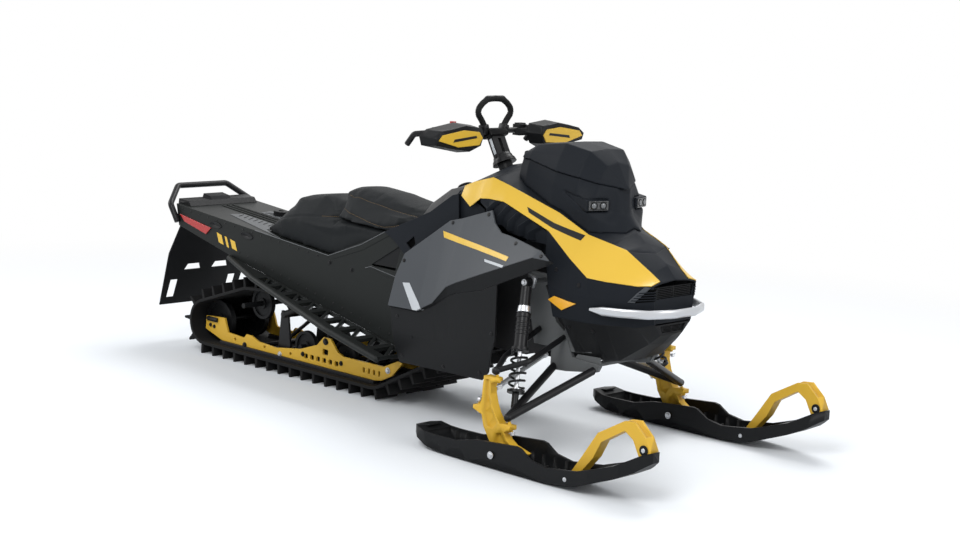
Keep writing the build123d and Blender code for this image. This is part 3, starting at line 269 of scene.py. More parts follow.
def add_lamp(name, place, aim, size, watts):
    data = bpy.data.lights.new(name, "AREA")
    data.shape, data.size, data.energy = "DISK", size, watts
    lamp = new_object(name, data)
    lamp.location = place
    lamp.rotation_euler = (Vector(aim) - Vector(place)).to_track_quat("-Z", "Y").to_euler()


print("the floor fades to white between", FLOOR_NEAR, "and", FLOOR_FAR, "m")

# %% [markdown]
# The key lamp stands high on the viewer's side and shapes the flank. Two fills
# open the shadows at nose and tail, and the top lamp draws the seat and the hood.

# %% Floor, sky and lamps
bpy.context.scene.view_settings.view_transform = "Standard"
LAMPS = (
    # name, place, aim, size, watts
    ("key", (2.6, -5.2, 5.2), (0.2, 0.0, 0.5), 3.2, 265.0),
    ("nose_fill", (6.5, 1.0, 3.2), (0.6, 0.0, 0.5), 3.0, 120.0),
    ("rear_fill", (-4.5, -2.5, 3.4), (-0.6, 0.0, 0.5), 3.0, 100.0),
    ("top", (-0.5, 2.8, 5.5), (0.0, 0.0, 0.6), 3.5, 185.0),
)
add_floor()
add_world()
for lamp in LAMPS:
    add_lamp(*lamp)
print("lamps:", len(LAMPS))

# %% [markdown]
# ## Effects that several finishes share
# Real plastic and metal are never one flat colour. Small node groups give what
# the eye expects: a fine grain in the surface, a slow change of shade across a
# panel, and edges that are a little round and painted paler, which is partly
# rubbed wear and partly a painted highlight. Each is built once here and placed
# in every finish with its own numbers.

# %% Shared node groups


def socket(group, name, kind, way="INPUT", value=None):
    made = group.interface.new_socket(name=name, in_out=way, socket_type=kind)
    if value is not None:
        made.default_value = value
    return made


def open_group(name):
    """A new node group with its two ends and its place on the object."""
    group = bpy.data.node_groups.new(name, "ShaderNodeTree")
    start, end = group.nodes.new("NodeGroupInput"), group.nodes.new("NodeGroupOutput")
    return group, group.nodes, group.links, start, end, add_node(group.nodes, "TexCoord").outputs["Object"]


def build_grain():
    """Two sizes of noise mixed into one height, for moulded and cast skins."""
    group, nodes, links, start, end, place = open_group("moulded_grain")
    socket(group, "Size", "NodeSocketFloat", value=700.0)
    socket(group, "Coarse share", "NodeSocketFloat", value=0.4)
    socket(group, "Height", "NodeSocketFloat", "OUTPUT")
    fine = add_node(nodes, "TexNoise", {"Detail": 3.0})
    coarse = add_node(nodes, "TexVoronoi")
    mix = add_node(nodes, "Mix")
    for texture in (fine, coarse):
        links.new(place, texture.inputs["Vector"])
        links.new(start.outputs["Size"], texture.inputs["Scale"])
    links.new(start.outputs["Coarse share"], mix.inputs["Factor"])
    links.new(fine.outputs["Fac"], mix.inputs["A"])
    links.new(coarse.outputs["Distance"], mix.inputs["B"])
    links.new(mix.outputs["Result"], end.inputs["Height"])
    return group


def build_shade():
    """Slow change of shade: a factor near 0.5 that wanders over the surface."""
    group, nodes, links, start, end, place = open_group("slow_shade")
    socket(group, "Size", "NodeSocketFloat", value=2.2)
    socket(group, "Mask", "NodeSocketFloat", "OUTPUT")
    noise = add_node(nodes, "TexNoise", {"Detail": 5.0})
    links.new(place, noise.inputs["Vector"])
    links.new(start.outputs["Size"], noise.inputs["Scale"])
    links.new(noise.outputs["Fac"], end.inputs["Mask"])
    return group


def build_edge_wear_and_highlight():
    """A rounded normal, and a mask that is 1 on an edge and 0 on the flat; it paints edges paler, as rubbed wear and
    as a painted highlight.
    """
    group, nodes, links, start, end, place = open_group("edge_wear_and_highlight")
    socket(group, "Radius", "NodeSocketFloat", value=0.003)
    socket(group, "Strength", "NodeSocketFloat", value=4.0)
    socket(group, "Mask", "NodeSocketFloat", "OUTPUT")
    socket(group, "Rounded", "NodeSocketVector", "OUTPUT")
    soft = add_node(nodes, "Bevel", samples=4)
    flat = add_node(nodes, "NewGeometry")
    dot = add_node(nodes, "VectorMath", operation="DOT_PRODUCT")
    turn = add_node(nodes, "Math", {0: 1.0}, operation="SUBTRACT")
    gain = add_node(nodes, "Math", operation="MULTIPLY", use_clamp=True)
    chips = add_node(nodes, "TexNoise", {"Scale": 45.0})
    broken = add_node(nodes, "Math", operation="MULTIPLY")
    for come, go in (
        (start.outputs["Radius"], soft.inputs["Radius"]),
        (soft.outputs["Normal"], dot.inputs[0]),
        (flat.outputs["Normal"], dot.inputs[1]),
        (dot.outputs["Value"], turn.inputs[1]),
        (turn.outputs[0], gain.inputs[0]),
        (start.outputs["Strength"], gain.inputs[1]),
        (place, chips.inputs["Vector"]),
        (gain.outputs[0], broken.inputs[0]),
        (chips.outputs["Fac"], broken.inputs[1]),
        (broken.outputs[0], end.inputs["Mask"]),
        (soft.outputs["Normal"], end.inputs["Rounded"]),
    ):
        links.new(come, go)
    return group


GRAIN, SHADE, EDGE_WEAR_AND_HIGHLIGHT = build_grain(), build_shade(), build_edge_wear_and_highlight()
print("groups:", [g.name for g in (GRAIN, SHADE, EDGE_WEAR_AND_HIGHLIGHT)])

# %% [markdown]
# ## One recipe for hard finishes
# Every hard finish mixes a base colour with a second shade, lightens it along
# its edges, for wear and as a painted highlight, and roughens it with grain. Only
# the numbers differ between paint, moulded plastic and metal, so one function
# with a table of numbers makes them.

# %% Hard finishes
WEAR_AND_HIGHLIGHT_GAIN = 25.0            # one unit of wear and painted edge highlight, as strength of the edge mask
RELIEF_HEIGHT = 0.001
COAT_ROUGHNESS = 0.12


def hard_finish(name, colour, second, rough, metal=0.0, grain=700.0, bump=0.05,
                wear_and_highlight=0.15, mirror=0.2, coat=0.0):
    """Paint, plastic or metal with grain, slow shade change, and round edges painted paler as rubbed wear and as a
    painted highlight.
    """
    material, nodes, links, shader = new_material(name)
    shade = add_node(nodes, "Group", node_tree=SHADE)
    worn_and_lit_edges = add_node(nodes, "Group", {"Strength": wear_and_highlight * WEAR_AND_HIGHLIGHT_GAIN}, node_tree=EDGE_WEAR_AND_HIGHLIGHT)
    height = add_node(nodes, "Group", {"Size": grain}, node_tree=GRAIN)
    # The paler edge colour is rubbed wear and a painted highlight along every edge.
    edge = tuple(min(1.0, v * 1.5 + 0.02) for v in colour)
    rubbed_and_lit = add_node(nodes, "Mix", {"B": (*edge, 1.0)}, data_type="RGBA")
    links.new(worn_and_lit_edges.outputs["Mask"], rubbed_and_lit.inputs["Factor"])
    links.new(two_shades(nodes, links, colour, second, shade.outputs["Mask"]), rubbed_and_lit.inputs["A"])
    links.new(rubbed_and_lit.outputs["Result"], shader.inputs["Base Color"])
    gloss = add_node(nodes, "MapRange", {"To Min": max(0.02, rough - 0.07), "To Max": min(1.0, rough + 0.09)})
    links.new(height.outputs["Height"], gloss.inputs["Value"])
    links.new(gloss.outputs["Result"], shader.inputs["Roughness"])
    relief = add_node(nodes, "Bump", {"Strength": bump, "Distance": RELIEF_HEIGHT})
    links.new(height.outputs["Height"], relief.inputs["Height"])
    links.new(worn_and_lit_edges.outputs["Rounded"], relief.inputs["Normal"])
    links.new(relief.outputs["Normal"], shader.inputs["Normal"])
    shader.inputs["Metallic"].default_value = metal
    shader.inputs["Specular IOR Level"].default_value = mirror
    shader.inputs["Coat Weight"].default_value = coat
    shader.inputs["Coat Roughness"].default_value = COAT_ROUGHNESS
    return material


FINISHES = {
    slot: hard_finish(slot, *numbers)
    for slot, numbers in {
        # slot: colour, second shade, roughness, metallic, grain, bump, wear and painted edge highlight, mirror, coat
        "yellow_metal": ((0.66, 0.40, 0.035), (0.61, 0.36, 0.03), 0.42, 0.0, 500.0, 0.08, 0.1, 0.3),
        "yellow_plastic": ((0.68, 0.43, 0.042), (0.65, 0.405, 0.038), 0.32, 0.0, 600.0, 0.03, 0.05, 0.35, 0.12),
        "grey_plastic": ((0.058, 0.063, 0.07), (0.046, 0.051, 0.057), 0.42, 0.0, 800.0, 0.1, 0.08, 0.2),
        "charcoal_plastic": ((0.013, 0.015, 0.019), (0.01, 0.012, 0.015), 0.48, 0.0, 800.0, 0.1, 0.06, 0.07),
        "black_plastic": ((0.0075, 0.008, 0.0088), (0.0105, 0.011, 0.0118), 0.42, 0.0, 700.0, 0.12, 0.07, 0.12),
        "dark_aluminium": ((0.016, 0.0178, 0.0172), (0.0125, 0.014, 0.0136), 0.4, 0.1, 500.0, 0.05, 0.08, 0.12),
        "cast_aluminium": ((0.12, 0.125, 0.132), (0.085, 0.09, 0.095), 0.5, 0.4, 350.0, 0.35, 0.2, 0.3),
        "bare_aluminium": ((0.56, 0.575, 0.6), (0.5, 0.51, 0.53), 0.3, 0.8, 900.0, 0.05, 0.1, 0.5),
        "black_steel": ((0.008, 0.008, 0.009), (0.011, 0.011, 0.012), 0.32, 0.1, 600.0, 0.06, 0.1, 0.2),
        "track_rubber": ((0.009, 0.009, 0.0095), (0.014, 0.014, 0.0142), 0.7, 0.0, 450.0, 0.35, 0.08, 0.12),
        "lamp_glass": ((0.022, 0.024, 0.027), (0.03, 0.032, 0.035), 0.08, 0.0, 300.0, 0.02, 0.05, 0.5, 0.8),
        "lamp_lens": ((0.16, 0.17, 0.18), (0.06, 0.065, 0.07), 0.1, 0.0, 300.0, 0.1, 0.08, 0.5, 0.6),
        "amber_lens": ((0.86, 0.42, 0.02), (0.8, 0.38, 0.018), 0.22, 0.0, 250.0, 0.1, 0.08, 0.4, 0.4),
        "red_lens": ((0.42, 0.006, 0.006), (0.32, 0.005, 0.005), 0.2, 0.0, 250.0, 0.1, 0.1, 0.4, 0.5),
        "slide_plastic": ((0.016, 0.017, 0.019), (0.023, 0.023, 0.026), 0.5, 0.0, 700.0, 0.1, 0.08, 0.12),
        "frame_grey": ((0.125, 0.13, 0.132), (0.095, 0.1, 0.102), 0.5, 0.2, 350.0, 0.3, 0.15, 0.25),
        "engine_grey": ((0.03, 0.03, 0.032), (0.038, 0.038, 0.04), 0.55, 0.3, 300.0, 0.3, 0.15, 0.2),
    }.items()
}
print("hard finishes:", len(FINISHES))

# %% [markdown]
# ## Seat cover
# A snowmobile seat wears a coated fabric: black, with a fine weave pressed
# into it and a soft sheen at grazing angles. Two crossed wave textures give
# the weave, and the sheen is set on the shader itself.

# %% Seat fabric
WEAVE_SCALE = 420.0


def seat_fabric(name, colour, second):
    material, nodes, links, shader = new_material(name)
    place = add_node(nodes, "TexCoord")
    threads = add_node(nodes, "Math", operation="MULTIPLY")
    for slot_number, direction in enumerate("XY"):
        wave = add_node(nodes, "TexWave", {"Scale": WEAVE_SCALE, "Distortion": 0.6}, bands_direction=direction)
        links.new(place.outputs["Object"], wave.inputs["Vector"])
        links.new(wave.outputs["Fac"], threads.inputs[slot_number])
    shade = add_node(nodes, "Group", {"Size": 5.0}, node_tree=SHADE)
    links.new(two_shades(nodes, links, colour, second, shade.outputs["Mask"]), shader.inputs["Base Color"])
    relief = add_node(nodes, "Bump", {"Strength": 0.22, "Distance": 0.0006})
    links.new(threads.outputs[0], relief.inputs["Height"])
    links.new(relief.outputs["Normal"], shader.inputs["Normal"])
    shader.inputs["Roughness"].default_value = 0.6
    shader.inputs["Specular IOR Level"].default_value = 0.1
    shader.inputs["Sheen Weight"].default_value = 0.02
    shader.inputs["Sheen Roughness"].default_value = 0.4
    return material


FINISHES["seat_cover"] = seat_fabric("seat_cover", (0.0072, 0.0085, 0.0096), (0.0098, 0.0114, 0.0126))
print("finishes:", len(FINISHES))

# %% [markdown]
# ## Dressing the solids
# The record says which finish each solid takes. Its mesh stays as it is, and
# only the material in its slots changes.

# %% Give every solid its finish
for part in frame["record"]["subparts"]:
    node = frame["nodes"][part["node"]]
    for place in node.material_slots:
        place.material = FINISHES[part["material_slot"]]
OTHER_FINISHES = {"front_frame": "frame_grey", "headlamps": "lamp_glass", "louvres": "charcoal_plastic"}
for node, finish in OTHER_FINISHES.items():
    for place in frame["nodes"][node].material_slots:
        place.material = FINISHES[finish]

# %% [markdown]
# A solid's mesh is loose triangles, so light breaks at each of them. Moulded
# panels are one skin on the real machine: every large one is shown by a merged
# copy of itself, shaded smooth over shallow folds and crisp over sharp ones.
# The form stays the same, with two exceptions. The pod and its visor are rebuilt
# as an even skin, whose facets melt into each other like a blown moulding. And
# the bumper's tube is pressed flat at its two rear ends.

# %% Smooth skins for the moulded panels
SOFT_SKINS = {"gauge_pod": (0.0035, 14), "visor": (0.003, 8)}   # node: voxel size, smoothing steps
SKINS = {   # node: sharpest fold in degrees that still shades smooth
    "hood": 40.0, "hood_bands": 34.0, "nose_cowl": 32.0, "nose_panel": 34.0,
    "belly_pan": 30.0, "side_panels": 24.0, "panel_bevels": 24.0, "lower_panels": 24.0, "console": 34.0,
    "hand_guards": 34.0, "guard_inserts": 34.0, "snow_flap": 30.0, "tail_cap": 34.0, "louvres": 30.0,
    "ski_left": 32.0, "ski_right": 32.0, "ski_loop_left": 34.0, "ski_loop_right": 34.0,
    "spindle_left": 32.0, "spindle_right": 32.0, "front_bumper": 36.0, "grab_bar": 36.0, "front_frame": 30.0,
}


def with_modifiers_applied(piece):
    """The mesh that a piece's modifiers give, put in place of its own."""
    depsgraph = bpy.context.evaluated_depsgraph_get()
    made = bpy.data.meshes.new_from_object(piece.evaluated_get(depsgraph))
    piece.modifiers.clear()
    piece.data = made
    return made


def pinch_ends(bm, length=0.045, share=0.3, height=0.62):
    """Press the rear ends of the bumper's tube into blades."""
    end = min(v.co.x for v in bm.verts)
    bmesh.ops.bisect_plane(bm, geom=everything(bm), plane_co=(end + length, 0, 0), plane_no=(1, 0, 0))
    tips = [v for v in bm.verts if v.co.x < end + length * 0.5]
    low, high = min(v.co.z for v in tips), max(v.co.z for v in tips)
    middle = low + (high - low) * height
    for v in tips:
        v.co.z = middle + (v.co.z - middle) * share
    print("pinched bumper ends:", len(tips), "points", round(high - low, 4), "m high before")


def smooth_skin(node, fold=180.0, soft=None):
    """A merged copy of a panel that takes the place of its loose triangles."""
    solid = frame["nodes"][node]
    bm = merged_copy(node)
    if node == "front_bumper":
        pinch_ends(bm)
    mesh = mesh_from(node + "_skin", bm)
    skin = new_object(node + "_skin", mesh)
    if soft:
        remesh = skin.modifiers.new("even_skin", "REMESH")
        remesh.mode, remesh.voxel_size = "VOXEL", soft[0]
        relax = skin.modifiers.new("soft_edges", "SMOOTH")
        relax.factor, relax.iterations = 0.5, soft[1]
        mesh = with_modifiers_applied(skin)
    shade_smooth(mesh)
    mesh.set_sharp_from_angle(angle=math.radians(fold))
    mesh.materials.clear()
    mesh.materials.append(solid.material_slots[0].material)
    even = skin.modifiers.new("large_faces_lead", "WEIGHTED_NORMAL")
    even.keep_sharp = True
    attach(skin, solid["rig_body"])
    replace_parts(skin, node)


for node, fold in SKINS.items():
    smooth_skin(node, fold)
for node, soft in SOFT_SKINS.items():
    smooth_skin(node, soft=soft)
print("smooth skins:", len(SKINS) + len(SOFT_SKINS))

# %% [markdown]
# ## Tools for small pieces
# Trim is many small things, so each helper adds one shape to an open bmesh and
# `close_piece` turns the whole bmesh into one object. Sizes are in metres and
# every place is in the machine's own frame, so the object stays at the origin.

# %% Piece helpers


def close_piece(name, bm, body, finish, sharp=35.0):
    """Finish a bmesh as one object that rides on a body."""
    bmesh.ops.recalc_face_normals(bm, faces=bm.faces)
    mesh = mesh_from(name, bm)
    shade_smooth(mesh)
    mesh.set_sharp_from_angle(angle=math.radians(sharp))
    mesh.materials.append(FINISHES[finish])
    piece = new_object(name, mesh)
    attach(piece, body)
    print(name, len(mesh.polygons), "faces on", body)
    return piece


def along(place, axis):
    """A frame at a place whose Z points along an axis."""
    return Matrix.Translation(Vector(place)) @ Vector(axis).to_track_quat("Z", "Y").to_matrix().to_4x4()


def disc(bm, place, axis, radius, height, segments=20, top=None):
    """A short round or many-sided plug that stands on a place."""
    lift = Matrix.Translation((0, 0, height / 2))
    return bmesh.ops.create_cone(
        bm, cap_ends=True, segments=segments, radius1=radius, radius2=radius if top is None else top,
        depth=height, matrix=along(place, axis) @ lift,
    )["verts"]


def bolt(bm, place, axis, radius, height):
    """A washer with a six-sided head on it."""
    axis = Vector(axis).normalized()
    disc(bm, place, axis, radius * 1.45, height * 0.25)
    disc(bm, Vector(place) + axis * height * 0.25, axis, radius, height * 0.75, 6, radius * 0.94)


def dome(bm, place, axis, radius, height, segments=12):
    """A rivet's head: a flattened ball, half sunk into what it holds."""
    squash = Matrix.Diagonal((1, 1, height / radius, 1))
    bmesh.ops.create_uvsphere(bm, u_segments=segments, v_segments=6, radius=radius,
                              matrix=along(place, axis) @ squash)


def block(bm, centre, size, turn=None, bevel=0.0):
    """A box with its edges broken."""
    placed = Matrix.Translation(Vector(centre)) @ (turn or Matrix.Identity(4)) @ Matrix.Diagonal((*size, 1))
    verts = bmesh.ops.create_cube(bm, size=1.0, matrix=placed)["verts"]
    if bevel:
        edges = once(e for v in verts for e in v.link_edges)
        bmesh.ops.bevel(bm, geom=edges, offset=bevel, offset_type="OFFSET", segments=2, profile=0.5,
                        affect="EDGES", material=-1)


def hose(bm, points, radius, segments=10):
    """A round bar along straight runs, made by extruding a ring from corner to corner."""
    points = [Vector(p) for p in points]
    here = along(points[0], points[1] - points[0])
    first = bmesh.ops.create_circle(bm, cap_ends=True, segments=segments, radius=radius, matrix=here)["verts"]
    ring = [e for e in bm.edges if all(v in first for v in e.verts)]
    for number in range(1, len(points)):
        before = (points[number] - points[number - 1]).normalized()
        after = (points[number + 1] - points[number]).normalized() if number + 1 < len(points) else before
        there = along(points[number], before + after)
        grown = bmesh.ops.extrude_edge_only(bm, edges=ring)["geom"]
        bmesh.ops.transform(bm, matrix=there @ here.inverted(), verts=verts_in(grown))
        ring, here = edges_in(grown), there
    bmesh.ops.holes_fill(bm, edges=ring, sides=segments)


def plate(bm, corners, normal, thick):
    """A flat many-sided plate, grown along a normal."""
    face = bm.faces.new([bm.verts.new(c) for c in corners])
    grown = bmesh.ops.extrude_face_region(bm, geom=[face])["geom"]
    bmesh.ops.translate(bm, vec=Vector(normal).normalized() * thick, verts=verts_in(grown))


def mirrored(vector, side):
    """The same place on the right (-1) or the left (1) of the machine, drawn on its right."""
    return Vector((vector.x, -side * vector.y, vector.z))


# %% [markdown]
# Bolts and stripes lie on panels that slope both ways. A search tree over a
# panel's own mesh tells where a line from outside first meets it, so each
# small piece sits on the real surface and tilts with it.

# %% Finding a surface
TREES = {}


def met_by(node, start, way):
    """Where a line from outside first meets a solid, and which way it faces there."""
    if node not in TREES:
        bm = bmesh.new()
        bm.from_mesh(frame["nodes"][node].data)
        TREES[node] = BVHTree.FromBMesh(bm)
        bm.free()
    return TREES[node].ray_cast(Vector(start), Vector(way))[:2]


console_top, _ = met_by("console", (0.16, 0.0, 2.0), (0, 0, -1))
print("the console's top is met at z =", round(console_top.z, 4))

# %% [markdown]
# ## Padded seat
# The seat is foam under a fitted cover, in two pieces: the rider's wedge, and a
# lower pad that comes out behind it and runs on under its side. Each is blown
# up as cloth under light pressure from slightly smaller copies of the solids,
# split along the line where the two meet. That gives full faces and soft corners.
# Its foot stays where it rests, and no point may move further than the cap, so
# it never swells into its neighbours.

# %% Seat padding
SHRINK = 0.006
SPLIT_PLACE, SPLIT_UP = Vector((-0.41, 0, 0.694)), Vector((0.0565, 0, 0.9984))
DRIVER_TOP = (   # x, lift
    (-0.42, 0.012), (-0.37, 0.006), (-0.32, -0.003), (-0.2, -0.009), (-0.1, -0.024), (-0.03, -0.032), (0.08, -0.022),
)
REAR_TOP = (
    (-0.87, 0.0), (-0.79, 0.018), (-0.7, 0.02), (-0.6, 0.002), (-0.5, -0.018), (-0.405, -0.026), (-0.395, 0.0),
)


def add_core(bm, node, keep=0, shift=0.0):
    """Add a solid, or its part above (1) or below (-1) the split, drawn in on every side but its foot."""
    core = merged_copy(node)
    if keep:
        cut = bmesh.ops.bisect_plane(core, geom=everything(core), plane_co=SPLIT_PLACE,
                                     plane_no=SPLIT_UP * keep, clear_inner=True)["geom_cut"]
        bmesh.ops.contextual_create(core, geom=edges_in(cut))
    bmesh.ops.recalc_face_normals(core, faces=core.faces)
    core.normal_update()
    for vert in core.verts:
        inward = vert.normal * -SHRINK
        if vert.normal.z < 0:
            inward.z = 0.0
        vert.co += inward + Vector((shift, 0, 0))
    pour_into(bm, core, "core")


def lift_at(profile, x):
    """Height that a profile of (x, lift) adds at one x."""
    for (x0, lift0), (x1, lift1) in zip(profile, profile[1:]):
        if x0 <= x <= x1:
            return lift0 + (lift1 - lift0) * (x - x0) / (x1 - x0)
    return 0.0


def carve(piece, profile, low, high, crown, sweep):
    """Raise or lower the top along its length, crown it across, and bow its back; nothing below `low` moves."""
    for vert in piece.data.vertices:
        share = max(0.0, min(1.0, (vert.co.z - low) / (high - low)))
        across = min(1.0, abs(vert.co.y) / 0.17) ** 2
        back = max(0.0, min(1.0, (-0.3 - vert.co.x) / 0.1))
        vert.co.z += (lift_at(profile, vert.co.x) - crown * across) * share
        vert.co.x -= sweep * (1.0 - across) * share * back


def level_joint(piece, start, end, top):
    """Draw the flanks straight between two stations, so the pad's two cores become one."""
    tree = BVHTree.FromObject(piece, bpy.context.evaluated_depsgraph_get())
    for vert in piece.data.vertices:
        x, y, z = vert.co
        if start < x < end and abs(y) > 0.11 and z < top:
            side = math.copysign(1.0, y)
            ends = [tree.ray_cast(Vector((station, side * 2.0, z)), Vector((0, -side, 0)))[0]
                    for station in (start, end)]
            if None not in ends and abs(vert.normal.y) > 0.3:
                vert.co.y = ends[0].y + (ends[1].y - ends[0].y) * (x - start) / (end - start)


print("cores are drawn in by", SHRINK, "m and split at z =", SPLIT_PLACE.z)

# %% [markdown]
# The blown shape comes from a short run of the cloth solver: twenty frames of
# light pressure with the foot pinned. What it gives is kept as the mesh, so the
# finished cover holds no simulation.

# %% Blowing the cover up
PRESSURE, CLOTH_FRAMES = 4.0, 20
CAP = 0.0065        # furthest that a point may move, in metres


def inflate(piece):
    """Blow the cover up as cloth with its foot pinned, and cap how far it moves."""
    start = [v.co.copy() for v in piece.data.vertices]
    foot = piece.vertex_groups.new(name="foot")
    foot.add([v.index for v in piece.data.vertices if v.normal.z < -0.45], 1.0, "REPLACE")
    cloth = piece.modifiers.new("cover", "CLOTH")
    cloth.settings.quality = 4
    cloth.settings.use_pressure = True
    cloth.settings.uniform_pressure_force = PRESSURE
    cloth.settings.effector_weights.gravity = 0.0
    cloth.settings.vertex_group_mass = "foot"
    for frame_number in range(1, CLOTH_FRAMES + 1):
        bpy.context.scene.frame_set(frame_number)
    with_modifiers_applied(piece)
    bpy.context.scene.frame_set(1)
    for vert, before in zip(piece.data.vertices, start):
        moved = vert.co - before
        if moved.length > CAP:
            vert.co = before + moved * (CAP / moved.length)
    piece.vertex_groups.clear()


print("cloth: pressure", PRESSURE, "for", CLOTH_FRAMES, "frames, capped at", CAP, "m")

# %% [markdown]
# A seam is drawn as a line of corners in one view, from above or from the side,
# and sent straight down that view on to the cover. The cover is then pressed in
# along it, because a real seam pulls the cloth down between two full faces.

# %% Seams on the cover
SEAM_REACH, SEAM_DEPTH = 0.009, 0.0026


def nearest_on(line, point):
    """Distance from a point to a line of short runs."""
    best = 1.0
    for a, b in zip(line, line[1:]):
        run = b - a
        share = max(0.0, min(1.0, (point - a).dot(run) / run.length_squared))
        best = min(best, (point - (a + run * share)).length)
    return best


def press_seams(piece, lines):
    """Sink a shallow channel into the cover along every seam."""
    for vert in piece.data.vertices:
        if abs(vert.co.y) < 0.06:
            continue
        near = min(nearest_on(line, vert.co) for line in lines)
        if near < SEAM_REACH:
            vert.co -= vert.normal * SEAM_DEPTH * (1.0 - near / SEAM_REACH)


def seams(view, rows):
    """A seam drawn once in the top view (x, y) or the side view (x, z), and its mirror image."""
    if view == "top":
        return [(Vector((0, 0, -1)), [Vector((x * MM, side * y * MM, 2.0)) for x, y in rows])
                for side in SIDES.values()]
    return [(Vector((0, -side, 0)), [Vector((x * MM, side * 2.0, z * MM)) for x, z in rows])
            for side in SIDES.values()]


def laid_on(tree, seam, pitch):
    """Points a pitch apart along a seam, each sent straight down its view on to the cover."""
    way, line = seam
    points = []
    for a, b in zip(line, line[1:]):
        count = max(1, round((b - a).length / pitch))
        for number in range(count + 1):
            hit = tree.ray_cast(a.lerp(b, number / count), way)[0]
            if hit is not None and (not points or (hit - points[-1]).length > 0.3 * pitch):
                points.append(hit)
    return points


print("a seam sinks", SEAM_DEPTH, "m and reaches", SEAM_REACH, "m to each side")

# %% [markdown]
# Each cover goes through the same steps: join its cores, give them one even
# skin, carve the top, blow it up, relax and refine it, and press in its seams.

# %% Making the two covers
VOXEL = 0.008


def make_cover(name, cores, shape, lines):
    """A padded cover from its cores, the shape of its top and its seams."""
    bm = bmesh.new()
    for core in cores:
        add_core(bm, *core)
    piece = new_object(name, mesh_from(name + "_core", bm))
    remesh = piece.modifiers.new("even_skin", "REMESH")
    remesh.mode = "VOXEL"
    remesh.voxel_size = VOXEL
    with_modifiers_applied(piece)
    carve(piece, *shape)
    if len(cores) > 1:
        level_joint(piece, -0.46, -0.35, 0.69)
    inflate(piece)
    relax = piece.modifiers.new("relax", "SMOOTH")
    relax.factor, relax.iterations = 0.5, 3
    finer = piece.modifiers.new("finer", "SUBSURF")
    finer.levels = finer.render_levels = 1
    with_modifiers_applied(piece)
    tree = BVHTree.FromObject(piece, bpy.context.evaluated_depsgraph_get())
    lines = [laid_on(tree, line, 0.02) for line in lines]
    press_seams(piece, lines)
    mesh = piece.data
    shade_smooth(mesh)
    mesh.materials.clear()
    mesh.materials.append(FINISHES["seat_cover"])
    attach(piece, "chassis")
    for node, *_ in cores:
        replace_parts(piece, node)
    print(name, len(mesh.polygons), "faces")
    return piece


DRIVER_SEAMS = seams("top", ((-397, 98), (-360, 108), (-252, 114), (-129, 115), (-25, 112), (48, 103)))
DRIVER_SEAMS += seams("side", ((-404, 731), (-315, 716), (-233, 703), (-159, 691), (-110, 688), (-59, 696),
                               (-2, 716), (40, 738)))
REAR_SEAMS = seams("side", ((-735, 650), (-690, 661), (-616, 676), (-506, 685), (-425, 690)))
REAR_CORES = [("seat_rear",), ("seat_driver", -1), ("seat_driver", -1, -0.03)]
DRIVER_SHAPE = (DRIVER_TOP, 0.725, 0.785, 0.034, 0.022)   # profile, low, high, crown, sweep
REAR_SHAPE = (REAR_TOP, 0.6, 0.71, 0.012, 0.0)
driver_cover = make_cover("seat_cover_driver", [("seat_driver", 1)], DRIVER_SHAPE, DRIVER_SEAMS)
rear_cover = make_cover("seat_cover_rear", REAR_CORES, REAR_SHAPE, REAR_SEAMS)

# %% [markdown]
# The seams are sewn in thick golden thread. Each stitch is a small stretched
# ball that lies in its channel, turned along the seam.

# %% Stitches
STITCH_PITCH = 0.0085
STITCH = Matrix.Diagonal((0.0012, 0.0012, 0.0031, 1))
FINISHES["seat_thread"] = hard_finish("seat_thread", (0.2, 0.125, 0.05), (0.15, 0.095, 0.04), 0.6, 0.0, 2500.0, 0.3)


def sew(bm, cover, lines):
    """Lay a stitch in every short run of the seams."""
    tree = BVHTree.FromObject(cover, bpy.context.evaluated_depsgraph_get())
    for line in lines:
        points = laid_on(tree, line, STITCH_PITCH)
        for a, b in zip(points, points[1:]):
            if (b - a).length > 0.002:
                middle = along((a + b) / 2, b - a)
                bmesh.ops.create_icosphere(bm, subdivisions=1, radius=1.0, matrix=middle @ STITCH)


bm = bmesh.new()
sew(bm, driver_cover, DRIVER_SEAMS)
sew(bm, rear_cover, [(way, line[-2:]) for way, line in REAR_SEAMS])
close_piece("seat_stitches", bm, "chassis", "seat_thread")

# %% [markdown]
# ## Front suspension trim
# The springs are real coils: one ring of edges is spun round the shock while
# it climbs along it. Collars, shafts and top bolts are bare metal.

# %% Coil springs and shock metal
SHOCK_TOP, SHOCK_FOOT = Vector((0.745, -0.275, 0.603)), Vector((0.842, -0.418, 0.196))
COILS, COIL_STEPS, WIRE, COIL_RADIUS = 4.75, 22, 0.0045, 0.0268


def coil(bm, start, end):
    """A closed ring of edges, spun round a line while it climbs along it."""
    axis = end - start
    outward = axis.cross(Vector((1, 0, 0))).normalized()
    place = start + outward * COIL_RADIUS
    ring = bmesh.ops.create_circle(bm, segments=8, radius=WIRE, matrix=along(place, axis.cross(outward)))["verts"]
    edges = once(e for v in ring for e in v.link_edges)
    steps = round(COILS * COIL_STEPS)
    last = bmesh.ops.spin(bm, geom=ring + edges, cent=start, axis=axis.normalized(), dvec=axis / steps,
                          angle=math.tau * COILS, steps=steps, use_merge=False)["geom_last"]
    bmesh.ops.contextual_create(bm, geom=edges)
    bmesh.ops.contextual_create(bm, geom=edges_in(last))


